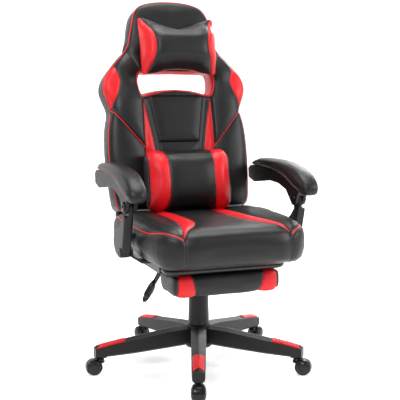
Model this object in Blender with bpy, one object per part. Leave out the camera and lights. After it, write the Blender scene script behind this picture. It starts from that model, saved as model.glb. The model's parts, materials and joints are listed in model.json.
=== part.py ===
"""Gaming chair with a reclining back, linked armrests and a sliding footrest.

Metres, +Z up, the chair faces -Y. Every piece is worked out about the column's axis on the floor,
and the whole chair is then moved by COLUMN_X and COLUMN_Y so that its box is centred on the origin.
Joint axes are empties, and what turns or slides with a joint is parented to that joint's empty.
"""

import math

import bmesh
import bpy
from mathutils import Matrix, Vector

# ---- Driving dimensions, metres ----
GAP = 0.0003  # left between pieces that touch
PLAY = 0.0005  # left round a piece that sits in a pocket

COLUMN_X = 0.0269  # the column's axis from the middle of the chair's box
COLUMN_Y = -0.0051

LEGS = 5
FRONT_LEG_TURN = -20.4  # degrees, the front leg from straight ahead
LEG_END = 0.350
HUB_RADIUS = 0.042
HUB_TOP = 0.138
HUB_BOTTOM = 0.064
# Along a leg: distance out, top ridge height, underside height, half width
LEG_SECTIONS = [
    (0.028, 0.136, 0.076, 0.0250),
    (0.100, 0.131, 0.070, 0.0240),
    (0.225, 0.113, 0.061, 0.0225),
    (0.312, 0.099, 0.057, 0.0210),
    (0.316, 0.098, 0.0535, 0.0208),
    (LEG_END, 0.091, 0.0535, 0.0190),
]
LEG_RIDGE = 0.007  # the ridge stands this far over the leg's side edges
LEG_CHAMFER = 0.006
PAD_START = 0.252
PAD_END = 0.346
PAD_THICK = 0.0025
PAD_MARGIN = 0.003

CASTER_OUT = 0.332  # caster stem from the column's axis
TRAIL = 0.021  # wheel axle behind the stem
WHEEL_RADIUS = 0.024
WHEEL_INNER = 0.0045  # wheel faces from the middle of the caster
WHEEL_RIM = 0.0190
WHEEL_OUTER = 0.0235
AXLE_RADIUS = 0.0030
HOOD_CLEAR = 0.0012
HOOD_WALL = 0.0016
HOOD_HALF_WIDTH = 0.0183
HOOD_BOTTOM = 0.0065
WEB_HALF = 0.0030
STEM_RADIUS = 0.0055
STEM_TOP = 0.080
NECK_RADIUS = 0.0120

TUBE_RADIUS = 0.0250  # outer tube of the gas lift
TUBE_WALL = 0.0022
TUBE_BOTTOM = 0.0640
TUBE_TOP = 0.2480
TUBE_FLOOR = 0.0040
CYLINDER_RADIUS = 0.0140
CYLINDER_WALL = 0.0020
CYLINDER_BOTTOM = 0.1150
CYLINDER_TOP = 0.3720
ROD_RADIUS = 0.0050
ROD_TOP = 0.1990
COVER_WALL = 0.0018
COVER_STEP = 0.0024  # each cover's radius over the one inside it
LOWER_COVER_TOP = 0.2480
LOWER_COVER_FLARE = 0.0025
MIDDLE_COVER = (0.2110, 0.2910)
UPPER_COVER = (0.2510, 0.3307)

HOUSING_HALF_X = 0.0555
HOUSING_Y = (-0.096, 0.075)
HOUSING_Z = (0.3310, 0.3740)
HOUSING_WALL = 0.0030
TILT_AXIS = (0.060, 0.366)  # y, z of the seat's rocking axis
EAR_RADIUS = 0.0130
KNOB_Y = -0.0720
KNOB_RADIUS = 0.0200
KNOB_BOTTOM = 0.2860
SCREW_RADIUS = 0.0050
SPRING_RADIUS = 0.0110
SPRING_WIRE = 0.0018
SPRING_TURNS = 5
LEVER_RADIUS = 0.0040
LEVER_GAP = 0.0012  # from the housing to the levers, which tip and slide
LIFT_LEVER_Y = -0.045
LIFT_LEVER_Z = 0.352
TILT_LEVER_Y = -0.020
TILT_LEVER_Z = 0.338
LIFT_REACH = 0.142  # from the middle of the chair to a lever's elbow
TILT_REACH = 0.128
LIFT_DROP = (0.030, -0.002, 0.056)  # from the elbow to the grip: out, back, down
TILT_DROP = (0.036, 0.004, 0.062)

SEAT_BOTTOM = 0.3900
SEAT_MIDDLE_TOP = 0.4920
# From front to rear: distance, half width, lift of the underside, rise of the middle, rise of the bolsters
SEAT_SECTIONS = [
    (-0.352, 0.150, 0.030, -0.030, -0.030),
    (-0.343, 0.186, 0.012, -0.010, -0.006),
    (-0.320, 0.218, 0.004, -0.003, 0.006),
    (-0.280, 0.240, 0.000, 0.000, 0.014),
    (-0.200, 0.252, 0.000, 0.000, 0.020),
    (-0.050, 0.258, 0.000, -0.002, 0.020),
    (0.060, 0.258, 0.000, 0.002, 0.016),
    (0.125, 0.256, 0.000, 0.008, 0.010),
    (0.150, 0.252, 0.002, 0.004, 0.004),
    (0.164, 0.240, 0.010, -0.015, -0.015),
]
PLATE_HALF_X = 0.1680
PLATE_Y = (-0.170, 0.160)
PLATE_THICK = 0.0070

BAR_RADIUS = 0.0105
BAR_Y = -0.2530
BAR_Z = 0.3720
BAR_HALF = 0.1870  # middles of the side tubes
BAR_REAR = 0.1150
BAR_BEND = 0.0300
RAIL_Y = (-0.200, 0.120)
RAIL_HALF_WIDTH = 0.0128
FOOT_PAD_HALF = 0.1760
FOOT_PAD_Y = (-0.268, -0.100)
FOOT_PAD_Z = (0.2920, 0.3605)

BACK_LEAN = 12.5  # degrees back from upright, at rest
RECLINE_AXIS = (0.219, 0.481)  # y, z
BACK_THICK = 0.0850
BACK_EDGE = 0.0140
# Half width of the back against the distance up it from the recline axis
BACK_OUTLINE = [
    (0.205, 0.003),
    (0.232, 0.010),
    (0.240, 0.045),
    (0.250, 0.135),
    (0.252, 0.220),
    (0.246, 0.290),
    (0.233, 0.340),
    (0.247, 0.386),
    (0.261, 0.422),
    (0.253, 0.457),
    (0.218, 0.499),
    (0.189, 0.530),
    (0.163, 0.567),
    (0.152, 0.606),
    (0.142, 0.657),
    (0.126, 0.691),
    (0.102, 0.712),
    (0.050, 0.723),
]
WINDOW_HALF = 0.1220
WINDOW_Z = (0.3990, 0.4760)
WINDOW_ARCH = 0.0150
STRAP_Z = (0.568, 0.586)
STRAP_HALF = 0.1642
STRAP_THICK = 0.0012
FRAME_Z = 0.330
FRAME_HALF = 0.1650
FRAME_BAR = 0.0300
FRAME_Y = (-0.0320, -0.0240)
LUG_X = (0.1565, 0.1625)
LUG_TOP = 0.1000
BRACKET_X = (0.1500, 0.1560)
BOSS_RADIUS = 0.0160
HEAD_PILLOW_HALF = 0.1320
HEAD_PILLOW_Z = (0.456, 0.646)
HEAD_PILLOW_DEPTH = 0.1300
LUMBAR_HALF = 0.1580
LUMBAR_Z = (0.006, 0.198)
LUMBAR_DEPTH = 0.1200

ARM_LINK = (-0.035, 0.145)  # y, z from each lower pivot of the linkage to the upper one
ARM_FRONT_AXIS = (-0.160, 0.561)
POST_X = (0.2720, 0.2860)
POST_FOLD_X = 0.3000
ARM_X = (0.2620, 0.2960)
PIVOT_RADIUS = 0.0190
ARM_BRACKET_X = (0.2635, 0.2695)
PAD_X = 0.2780
PAD_INNER_REAR = 0.2560  # the pad stays outside this beside the back
# Along the arm from rear to front: distance, underside, top, half width
ARM_PAD_SECTIONS = [
    (0.168, 0.6435, 0.6500, 0.016),
    (0.150, 0.6450, 0.6600, 0.022),
    (0.108, 0.6460, 0.6710, 0.027),
    (0.040, 0.6450, 0.6750, 0.031),
    (-0.040, 0.6400, 0.6750, 0.033),
    (-0.111, 0.6245, 0.6710, 0.034),
    (-0.161, 0.6025, 0.6640, 0.034),
    (-0.200, 0.5880, 0.6530, 0.033),
    (-0.230, 0.5800, 0.6370, 0.031),
    (-0.247, 0.5790, 0.6220, 0.026),
    (-0.258, 0.5860, 0.6080, 0.017),
]

ROUND = 24
WHEEL_SIDES = 16


# ---- Materials ----
def material(name, colour, roughness, metallic=0.0):
    """A plain Principled finish."""
    made = bpy.data.materials.new(name)
    made.use_nodes = True
    shader = made.node_tree.nodes["Principled BSDF"]
    shader.inputs["Base Color"].default_value = (*colour, 1.0)
    shader.inputs["Roughness"].default_value = roughness
    shader.inputs["Metallic"].default_value = metallic
    made.diffuse_color = (*colour, 1.0)
    return made


# ---- Shapes: each returns a mesh ----
def mesh_of(bm):
    bmesh.ops.recalc_face_normals(bm, faces=bm.faces)
    mesh = bpy.data.meshes.new("shape")
    bm.to_mesh(mesh)
    bm.free()
    return mesh


def loft(rings):
    """Skin between rings of equally many points, with both ends closed."""
    bm = bmesh.new()
    rows = [[bm.verts.new(point) for point in ring] for ring in rings]
    count = len(rows[0])
    for row, after in zip(rows, rows[1:]):
        for i in range(count):
            j = (i + 1) % count
            bm.faces.new((row[i], row[j], after[j], after[i]))
    bm.faces.new(rows[0])
    bm.faces.new(rows[-1])
    return mesh_of(bm)


def turned(profile, sides=ROUND, start=0.0):
    """A closed profile of (radius, height) turned about Z. Radius 0 is a point on the axis."""
    bm = bmesh.new()
    turns = [start + 2 * math.pi * i / sides for i in range(sides)]
    rows = []
    for radius, height in profile:
        if radius:
            ring = [(radius * math.cos(t), radius * math.sin(t), height) for t in turns]
            rows.append([bm.verts.new(point) for point in ring])
        else:
            rows.append([bm.verts.new((0, 0, height))] * sides)
    for row, after in zip(rows, rows[1:] + rows[:1]):
        for i in range(sides):
            j = (i + 1) % sides
            corners = list(dict.fromkeys((row[i], row[j], after[j], after[i])))
            if len(corners) > 2:
                bm.faces.new(corners)
    return mesh_of(bm)


def prism(outline, low, high, axis="X"):
    """An outline extruded from low to high. The pairs are (y, z) along X, (x, z) along Y, (x, y) along Z."""
    order = {"X": (2, 0, 1), "Y": (0, 2, 1), "Z": (0, 1, 2)}[axis]
    rings = []
    for level in (low, high):
        triples = [(a, b, level) for a, b in outline]
        rings.append([tuple(triple[k] for k in order) for triple in triples])
    return loft(rings)


def box(x, y, z, rounding=0.0):
    """A box between three (low, high) pairs, with its edges rounded."""
    bm = bmesh.new()
    bmesh.ops.create_cube(bm, size=1.0)
    size = [high - low for low, high in (x, y, z)]
    middle = [(high + low) / 2 for low, high in (x, y, z)]
    bmesh.ops.scale(bm, vec=size, verts=bm.verts)
    bmesh.ops.translate(bm, vec=middle, verts=bm.verts)
    if rounding:
        bmesh.ops.bevel(bm, geom=bm.edges[:], offset=rounding, segments=2, affect="EDGES", profile=0.5)
    return mesh_of(bm)


def arc(centre, radius, start, end, steps):
    """Points of an arc, in degrees."""
    turns = [math.radians(start + (end - start) * i / steps) for i in range(steps + 1)]
    return [(centre[0] + radius * math.cos(t), centre[1] + radius * math.sin(t)) for t in turns]


def bent(points, radius, steps=4):
    """The points as a path whose inner corners are rounded."""
    path = [Vector(points[0])]
    for before, corner, after in zip(points, points[1:], points[2:]):
        corner = Vector(corner)
        start = corner + (Vector(before) - corner).normalized() * radius
        end = corner + (Vector(after) - corner).normalized() * radius
        for i in range(steps + 1):
            t = i / steps
            path.append(start.lerp(corner, t).lerp(corner.lerp(end, t), t))
    path.append(Vector(points[-1]))
    return path


def tube(path, radius, resolution=3):
    """A solid round bar along a path."""
    curve = bpy.data.curves.new("path", "CURVE")
    curve.dimensions = "3D"
    spline = curve.splines.new("POLY")
    spline.points.add(len(path) - 1)
    for point, place in zip(spline.points, path):
        point.co = (*place, 1.0)
    curve.bevel_depth = radius
    curve.bevel_resolution = resolution
    curve.use_fill_caps = True
    guide = bpy.data.objects.new("path", curve)
    bm = bmesh.new()
    bm.from_mesh(guide.to_mesh())
    guide.to_mesh_clear()
    bpy.data.objects.remove(guide)
    bmesh.ops.remove_doubles(bm, verts=bm.verts, dist=1e-6)
    return mesh_of(bm)


def moved(mesh, matrix):
    copy = mesh.copy()
    copy.transform(matrix)
    return copy


def combine(base, others, operation):
    """The mesh left after a Boolean of the base with each of the others."""
    link = bpy.context.scene.collection.objects.link
    body = bpy.data.objects.new("body", base)
    link(body)
    tools = []
    for other in others:
        tool = bpy.data.objects.new("tool", other)
        link(tool)
        tools.append(tool)
        modifier = body.modifiers.new("combine", "BOOLEAN")
        modifier.operation = operation
        modifier.object = tool
    bpy.context.view_layer.update()
    graph = bpy.context.evaluated_depsgraph_get()
    result = bpy.data.meshes.new_from_object(body.evaluated_get(graph))
    for helper in [body] + tools:
        bpy.data.objects.remove(helper)
    return result


def join(base, *others):
    return combine(base, others, "UNION")


def cut(base, *others):
    return combine(base, others, "DIFFERENCE")


# ---- Placing ----
class Chair:
    """The scene: pivots by name, and the pieces that hang on them."""

    def __init__(self):
        self.centre = Vector((COLUMN_X, COLUMN_Y, 0.0))
        self.places = {}

    def pivot(self, name, at, parent=None, lean=0.0):
        """An empty on a joint's axis. Its place is given about the column's axis."""
        empty = bpy.data.objects.new(name, None)
        bpy.context.scene.collection.objects.link(empty)
        empty.empty_display_size = 0.03
        empty.location = Vector(at) - self.places[parent.name] if parent else Vector(at) + self.centre
        empty.rotation_euler = (-math.radians(lean), 0.0, 0.0)
        empty.parent = parent
        self.places[empty.name] = Vector(at)
        return empty

    def piece(self, name, mesh, finish, pivot, own_frame=False):
        """A named piece on a pivot. Its mesh is about the column's axis, or in the pivot's own frame."""
        mesh = mesh.copy()
        if not own_frame:
            mesh.transform(Matrix.Translation(-self.places[pivot.name]))
        mesh.name = name
        mesh.materials.clear()
        mesh.materials.append(finish)
        mesh.shade_smooth()
        mesh.set_sharp_from_angle(angle=math.radians(35))
        made = bpy.data.objects.new(name, mesh)
        bpy.context.scene.collection.objects.link(made)
        made.parent = pivot
        return made


def leg_turn(index):
    """The turn about Z that takes +X to a leg's direction."""
    return Matrix.Rotation(math.radians(FRONT_LEG_TURN - 90 + 360 / LEGS * index), 4, "Z")


def mirrored(mesh):
    """The mesh on the other side of the chair."""
    bm = bmesh.new()
    bm.from_mesh(mesh)
    bmesh.ops.scale(bm, vec=(-1, 1, 1), verts=bm.verts)
    bmesh.ops.reverse_faces(bm, faces=bm.faces)
    return mesh_of(bm)


# ---- Base ----
def leg_at(out):
    """Ridge height, underside and half width of a leg at a distance out."""
    for near, far in zip(LEG_SECTIONS, LEG_SECTIONS[1:]):
        if near[0] <= out <= far[0]:
            share = (out - near[0]) / (far[0] - near[0])
            return [a + (b - a) * share for a, b in zip(near[1:], far[1:])]
    return list(LEG_SECTIONS[-1][1:])


def leg():
    rings = []
    for out, top, bottom, half in LEG_SECTIONS:
        edge = top - LEG_RIDGE
        rings.append(
            [
                (out, -half + LEG_CHAMFER, bottom),
                (out, -half, bottom + LEG_CHAMFER),
                (out, -half, edge),
                (out, 0.0, top),
                (out, half, edge),
                (out, half, bottom + LEG_CHAMFER),
                (out, half - LEG_CHAMFER, bottom),
            ]
        )
    return loft(rings)


def star_base():
    bore = TUBE_RADIUS + GAP
    hub = turned(
        [
            (bore, HUB_TOP),
            (HUB_RADIUS - 0.004, HUB_TOP),
            (HUB_RADIUS, HUB_TOP - 0.004),
            (HUB_RADIUS + 0.004, HUB_BOTTOM + 0.006),
            (HUB_RADIUS, HUB_BOTTOM),
            (bore, HUB_BOTTOM),
        ]
    )
    legs = [moved(leg(), leg_turn(i)) for i in range(LEGS)]
    fit, top = STEM_RADIUS + GAP, STEM_TOP + GAP
    socket = turned([(0, top), (fit, top), (fit, 0.050), (0, 0.050)], 12)
    out = Matrix.Translation((CASTER_OUT, 0, 0))
    sockets = [moved(socket, leg_turn(i) @ out) for i in range(LEGS)]
    shaft = turned([(0, 0.2), (bore, 0.2), (bore, 0.0), (0, 0.0)])
    return cut(join(hub, *legs), shaft, *sockets)


def leg_pad():
    rings = []
    for out in (PAD_START, PAD_START + 0.006, LEG_SECTIONS[3][0], LEG_SECTIONS[4][0], PAD_END):
        top, _, half = leg_at(out)
        half -= PAD_MARGIN
        slope = LEG_RIDGE * half / (half + PAD_MARGIN)
        low = top + GAP
        high = low + (PAD_THICK if out > PAD_START else PAD_THICK / 2)
        rings.append(
            [
                (out, -half, low - slope),
                (out, 0, low),
                (out, half, low - slope),
                (out, half, high - slope),
                (out, 0, high),
                (out, -half, high - slope),
            ]
        )
    return loft(rings)


# ---- Casters: about the stem's axis on the floor, trailing along +X, axle along Y ----
def caster_hood():
    axle = (TRAIL, WHEEL_RADIUS)
    inner = WHEEL_RADIUS + HOOD_CLEAR
    outer = inner + HOOD_WALL
    drop = math.degrees(math.asin((WHEEL_RADIUS - HOOD_BOTTOM) / outer))
    drum = arc(axle, outer, -drop, 180 + drop, 16)
    neck = turned(
        [
            (0, STEM_TOP),
            (STEM_RADIUS - 0.001, STEM_TOP),
            (STEM_RADIUS, STEM_TOP - 0.001),
            (STEM_RADIUS, LEG_SECTIONS[-1][2] - 0.003),
            (NECK_RADIUS, LEG_SECTIONS[-1][2] - 0.003),
            (NECK_RADIUS, axle[1] + inner * 0.78),
            (0, axle[1] + inner * 0.78),
        ],
        16,
    )
    wheel_room = arc(axle, inner, 0, 342, 19)
    sides = [
        prism(wheel_room, WEB_HALF, HOOD_HALF_WIDTH + 0.01, "Y"),
        prism(wheel_room, -HOOD_HALF_WIDTH - 0.01, -WEB_HALF, "Y"),
    ]
    hole = prism(arc(axle, AXLE_RADIUS + GAP, 0, 330, 11), -0.05, 0.05, "Y")
    return cut(join(prism(drum, -HOOD_HALF_WIDTH, HOOD_HALF_WIDTH, "Y"), neck), *sides, hole)


def caster_axle():
    bar = turned([(0, WHEEL_RIM), (AXLE_RADIUS, WHEEL_RIM), (AXLE_RADIUS, -WHEEL_RIM), (0, -WHEEL_RIM)], 12)
    return moved(bar, Matrix.Rotation(math.radians(90), 4, "X"))


def caster_wheel():
    """About the axle, on its +Y side."""
    bore = AXLE_RADIUS + GAP
    profile = [
        (bore, WHEEL_INNER),
        (WHEEL_RADIUS - 0.0012, WHEEL_INNER),
        (WHEEL_RADIUS, WHEEL_INNER + 0.0012),
        (WHEEL_RADIUS, WHEEL_RIM - 0.0015),
        (WHEEL_RADIUS - 0.0015, WHEEL_RIM),
        (WHEEL_RADIUS * 0.72, WHEEL_OUTER - 0.0010),
        (0, WHEEL_OUTER),
        (0, WHEEL_RIM + GAP),
        (bore, WHEEL_RIM + GAP),
    ]
    wheel = turned(profile, WHEEL_SIDES, math.pi / 2)
    return moved(wheel, Matrix.Rotation(math.radians(-90), 4, "X"))


def add_casters(chair, base, plastic, steel, tread):
    hood, axle, wheel = caster_hood(), caster_axle(), caster_wheel()
    half_turn = Matrix.Rotation(math.pi, 4, "Z")
    for i in range(LEGS):
        turn = leg_turn(i)
        stem = turn @ Vector((CASTER_OUT, 0, 0))
        middle = turn @ Vector((CASTER_OUT + TRAIL, 0, WHEEL_RADIUS))
        heading = turn.to_3x3().to_4x4()
        at_hub = heading @ Matrix.Translation((TRAIL, 0, WHEEL_RADIUS))
        swivel = chair.pivot(f"caster_{i + 1}_swivel", stem, base)
        spin = chair.pivot(f"caster_{i + 1}_spin", middle, swivel)
        chair.piece(f"caster_{i + 1}_hood", moved(hood, heading), plastic, swivel, True)
        chair.piece(f"caster_{i + 1}_axle", moved(axle, at_hub), steel, swivel, True)
        chair.piece(f"caster_{i + 1}_wheel_left", moved(wheel, heading), tread, spin, True)
        chair.piece(f"caster_{i + 1}_wheel_right", moved(wheel, heading @ half_turn), tread, spin, True)


# ---- Gas lift and its covers ----
def gas_column():
    inner = TUBE_RADIUS - TUBE_WALL
    floor = TUBE_BOTTOM + TUBE_FLOOR
    outer = TUBE_RADIUS
    profile = [(0, floor), (inner, floor), (inner, TUBE_TOP), (outer, TUBE_TOP)]
    return turned(profile + [(outer, TUBE_BOTTOM), (0, TUBE_BOTTOM)])


def piston_rod():
    foot = TUBE_BOTTOM + TUBE_FLOOR + GAP
    head = CYLINDER_RADIUS - CYLINDER_WALL - PLAY
    return turned(
        [
            (0, ROD_TOP),
            (head, ROD_TOP),
            (head, ROD_TOP - 0.012),
            (ROD_RADIUS, ROD_TOP - 0.012),
            (ROD_RADIUS, foot + 0.005),
            (CYLINDER_RADIUS, foot + 0.005),
            (CYLINDER_RADIUS, foot),
            (0, foot),
        ],
        16,
    )


def gas_cylinder():
    inner = CYLINDER_RADIUS - CYLINDER_WALL
    hole = ROD_RADIUS + PLAY
    return turned(
        [
            (0, CYLINDER_TOP + 0.0015),
            (0.004, CYLINDER_TOP + 0.0015),
            (0.004, CYLINDER_TOP),
            (CYLINDER_RADIUS, CYLINDER_TOP),
            (CYLINDER_RADIUS, CYLINDER_BOTTOM),
            (hole, CYLINDER_BOTTOM),
            (hole, CYLINDER_BOTTOM + 0.006),
            (inner, CYLINDER_BOTTOM + 0.006),
            (inner, CYLINDER_TOP - 0.010),
            (0, CYLINDER_TOP - 0.010),
        ]
    )


def cover(inner, bottom, top, flare=0.0):
    return turned(
        [
            (inner, top),
            (inner + COVER_WALL, top),
            (inner + COVER_WALL + flare, bottom),
            (inner + flare, bottom),
        ]
    )


# ---- Seat mechanism ----
def mechanism_housing():
    low, high = HOUSING_Z
    front, rear = HOUSING_Y
    outside = box((-HOUSING_HALF_X, HOUSING_HALF_X), HOUSING_Y, HOUSING_Z, 0.002)
    wall = HOUSING_WALL
    inner = HOUSING_HALF_X - wall
    hollow = box((-inner, inner), (front + wall, rear - wall), (low + wall, high + 0.02))
    beyond = rear + 0.01
    slope = prism([(TILT_AXIS[0] - 0.020, high + GAP), (beyond, high + GAP), (beyond, high - 0.016)], -0.1, 0.1)
    boss_radius = CYLINDER_RADIUS + 0.007
    boss = turned([(0, high - 0.004), (boss_radius, high - 0.004), (boss_radius, low + 0.001), (0, low + 0.001)])
    bore_radius = CYLINDER_RADIUS + GAP
    bore = turned([(0, high + 0.03), (bore_radius, high + 0.03), (bore_radius, low - 0.01), (0, low - 0.01)])
    screw_radius = SCREW_RADIUS + PLAY
    screw = turned([(0, high), (screw_radius, high), (screw_radius, low - 0.01), (0, low - 0.01)], 12)
    shell = cut(cut(outside, hollow), slope)
    return cut(join(shell, boss), bore, moved(screw, Matrix.Translation((0, KNOB_Y, 0))))


def tension_knob():
    grip_top = HOUSING_Z[0] - GAP
    top = HOUSING_Z[1] - 0.006
    profile = [
        (0, top),
        (SCREW_RADIUS, top),
        (SCREW_RADIUS, grip_top),
        (KNOB_RADIUS - 0.004, grip_top),
        (KNOB_RADIUS, grip_top - 0.008),
        (KNOB_RADIUS, KNOB_BOTTOM + 0.006),
        (KNOB_RADIUS - 0.004, KNOB_BOTTOM),
        (0, KNOB_BOTTOM),
    ]
    return moved(turned(profile, 16), Matrix.Translation((0, KNOB_Y, 0)))


def tension_spring():
    low = HOUSING_Z[0] + HOUSING_WALL + SPRING_WIRE + PLAY
    high = HOUSING_Z[1] - SPRING_WIRE - 0.004
    per_turn = 10
    steps = SPRING_TURNS * per_turn
    path = []
    for i in range(steps + 1):
        turn = 2 * math.pi * i / per_turn
        x, y = SPRING_RADIUS * math.cos(turn), KNOB_Y + SPRING_RADIUS * math.sin(turn)
        path.append((x, y, low + (high - low) * i / steps))
    return tube(path, SPRING_WIRE, 1)


def lever_path(y, z, reach, drop):
    """A side lever's bar: straight out from the housing, then bent down to its grip."""
    root = -HOUSING_HALF_X - LEVER_GAP
    elbow = -reach
    return bent([(root, y, z), (elbow, y, z - 0.004), (elbow - drop[0], y + drop[1], z - drop[2])], 0.016)


def grip(end, direction, length, half_width, half_thick):
    """A flat handle that starts at a bar's end and follows its direction, wide across Y."""
    along = Vector(direction).normalized()
    across = Vector((0, 1, 0))
    normal = along.cross(across).normalized()
    rings = []
    for share, width in ((0.0, 0.55), (0.12, 0.85), (0.35, 1.0), (0.75, 0.95), (0.94, 0.7), (1.0, 0.4)):
        middle = Vector(end) + along * (length * share + GAP)
        thick = half_thick * (0.6 + 0.4 * width)
        ring = []
        for i in range(10):
            t = 2 * math.pi * (i + 0.5) / 10
            ring.append(middle + across * (half_width * width * math.cos(t)) + normal * (thick * math.sin(t)))
        rings.append(ring)
    return loft(rings)


# ---- Seat ----
def seat_ring(y, half, lift, middle_rise, bolster_rise):
    """One cross-section of the cushion, with raised side bolsters."""
    bottom = SEAT_BOTTOM + lift
    middle = SEAT_MIDDLE_TOP + middle_rise
    bolster = SEAT_MIDDLE_TOP + bolster_rise
    tall = bolster - bottom
    right = [
        (half * 0.50, bottom),
        (half - 0.022, bottom),
        (half - 0.006, bottom + 0.12 * tall),
        (half, bottom + 0.35 * tall),
        (half, bolster - 0.35 * tall),
        (half - 0.006, bolster - 0.12 * tall),
        (half - 0.020, bolster - 0.002),
        (half - 0.042, bolster),
        (half * 0.66, middle + 0.25 * (bolster - middle)),
        (half * 0.40, middle),
    ]
    left = [(-x, z) for x, z in reversed(right)]
    return [(x, y, z) for x, z in right + left]


def seat_plate():
    top = SEAT_BOTTOM - PLAY
    bottom = top - PLATE_THICK
    plate = box((-PLATE_HALF_X, PLATE_HALF_X), PLATE_Y, (bottom, top))
    y, z = TILT_AXIS
    rim = arc((y, z), EAR_RADIUS, 0, -180, 8)
    outline = [(y + EAR_RADIUS, top - 0.002), *rim, (y - EAR_RADIUS, top - 0.002)]
    inner = HOUSING_HALF_X + 0.0015
    ears = [prism(outline, inner, inner + 0.005), prism(outline, -inner - 0.005, -inner)]
    return join(plate, *ears)


# ---- Footrest ----
def footrest_frame():
    left = [(-BAR_HALF, BAR_REAR, BAR_Z), (-BAR_HALF, BAR_Y, BAR_Z)]
    right = [(-x, y, z) for x, y, z in reversed(left)]
    return tube(bent(left + right, BAR_BEND, 6), BAR_RADIUS, 4)


def footrest_rail():
    half = RAIL_HALF_WIDTH
    block = box((BAR_HALF - half, BAR_HALF + half), RAIL_Y, (BAR_Z - half, SEAT_BOTTOM - PLAY))
    bore = prism(arc((BAR_HALF, BAR_Z), BAR_RADIUS + PLAY, 0, 345, 23), RAIL_Y[0] - 0.01, RAIL_Y[1] + 0.01, "Y")
    return cut(block, bore)


def footrest_pad():
    (front, rear), (low, high) = FOOT_PAD_Y, FOOT_PAD_Z
    under_rail = 0.004
    outline = (
        arc((front + 0.020, low + 0.020), 0.020, 180, 270, 4)
        + arc((rear - 0.045, low + 0.045), 0.045, -90, 0, 5)
        + [(rear, high - 0.014), (rear - 0.010, high - under_rail), (front + 0.060, high - under_rail)]
        + [(front + 0.045, high), (front + 0.012, high)]
        + arc((front + 0.012, high - 0.012), 0.012, 90, 180, 3)
    )
    centre_y, centre_z = (front + rear) / 2, (low + high) / 2
    rings = []
    for x, share in ((-1, 0.72), (-0.96, 0.90), (-0.85, 1.0), (0.85, 1.0), (0.96, 0.90), (1, 0.72)):
        ring = []
        for y, z in outline:
            ring.append((x * FOOT_PAD_HALF, centre_y + (y - centre_y) * share, centre_z + (z - centre_z) * share))
        rings.append(ring)
    return loft(rings)


# ---- Back, in the recline pivot's own upright frame ----
def rounded_outline(half, low, high, rounding):
    """A pillow's front outline, with round corners."""
    r = rounding
    return (
        arc((half - r, low + r), r, -90, 0, 4)
        + arc((half - r, high - r), r, 0, 90, 4)
        + arc((-half + r, high - r), r, 90, 180, 4)
        + arc((-half + r, low + r), r, 180, 270, 4)
    )


def pillow(half, z, depth, rounding):
    """A plump pillow standing against the back's front face."""
    low, high = z
    middle = (low + high) / 2
    rear = -BACK_THICK - STRAP_THICK - 0.0022
    rings = []
    for share, size in ((0.0, 0.70), (0.25, 0.93), (0.55, 1.0), (0.80, 0.93), (0.94, 0.76), (1.0, 0.55)):
        ring = []
        for x, z_point in rounded_outline(half, low, high, rounding):
            ring.append((x * size, rear - depth * share, middle + (z_point - middle) * size))
        rings.append(ring)
    return loft(rings)


def back_frame_shape(margin):
    """The steel hoop inside the back, with its two hinge lugs, grown by a margin."""
    low, high = FRAME_Y[0] - margin, FRAME_Y[1] + margin
    half, inner = FRAME_HALF + margin, FRAME_HALF - FRAME_BAR - margin
    foot, top = 0.030 - margin, FRAME_Z + margin
    inside_top = FRAME_Z - FRAME_BAR - margin
    hoop = [(-half, foot), (-inner, foot), (-inner, inside_top), (inner, inside_top)]
    hoop += [(inner, foot), (half, foot), (half, top), (-half, top)]
    body = prism(hoop, low, high, "Y")
    radius = BOSS_RADIUS + margin
    lug_top = LUG_TOP + margin
    lug = arc((0, 0), radius, -150, 45, 12) + [(high, 0.030), (high, lug_top), (low, lug_top), (low, 0.024)]
    lugs = []
    for side in (-1, 1):
        near, far = sorted((side * (LUG_X[0] - margin), side * (LUG_X[1] + margin)))
        lugs.append(prism(lug, near, far))
    return join(body, *lugs)


def back_cushion():
    outline = BACK_OUTLINE + [(-x, z) for x, z in reversed(BACK_OUTLINE)]
    bm = bmesh.new()
    bm.from_mesh(prism(outline, -BACK_THICK, 0.0, "Y"))
    rims = [e for e in bm.edges if abs(e.verts[0].co.y - e.verts[1].co.y) < 1e-6]
    bmesh.ops.bevel(bm, geom=rims, offset=BACK_EDGE, segments=1, affect="EDGES", profile=0.5, clamp_overlap=True)
    low, high = WINDOW_Z
    corner = WINDOW_HALF - 0.008
    right = [(0.05, low + WINDOW_ARCH), (corner, low), (WINDOW_HALF, low + 0.006)]
    right += [(WINDOW_HALF * 1.02, high - 0.012), (corner, high)]
    window = right + [(-x, z) for x, z in reversed(right)]
    opening = prism(window, -BACK_THICK - 0.05, 0.05, "Y")
    radius = BOSS_RADIUS + 0.0025
    near, far = BRACKET_X[0] - 0.0015, LUG_X[1] + 0.0015
    notch = arc((0, 0), radius, 0, 345, 23)
    notches = [prism(notch, near, far), prism(notch, -far, -near)]
    return cut(mesh_of(bm), opening, *notches, back_frame_shape(PLAY))


def head_strap():
    """An elastic band round the head section."""
    inner = STRAP_HALF
    front, rear = -BACK_THICK - 0.0010, 0.0010

    def loop(grow):
        r = 0.012 + grow
        half, low, high = inner + grow, front - grow, rear + grow
        return (
            arc((half - r, low + r), r, -90, 0, 3)
            + arc((half - r, high - r), r, 0, 90, 3)
            + arc((-half + r, high - r), r, 90, 180, 3)
            + arc((-half + r, low + r), r, 180, 270, 3)
        )

    outside = prism(loop(STRAP_THICK), *STRAP_Z, "Z")
    inside = prism(loop(0.0), STRAP_Z[0] - 0.01, STRAP_Z[1] + 0.01, "Z")
    return cut(outside, inside)


def recline_bracket():
    y, z = RECLINE_AXIS
    top = SEAT_BOTTOM - PLAY - PLATE_THICK - GAP
    outline = [(0.020, top - 0.020), (0.190, top - 0.020), (y + BOSS_RADIUS, z - 0.006)]
    outline += arc((y, z), BOSS_RADIUS, 0, 180, 10)
    outline += [(y - 0.030, z - 0.060), (0.1760, top), (0.020, top)]
    return prism(outline, *BRACKET_X)


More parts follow.
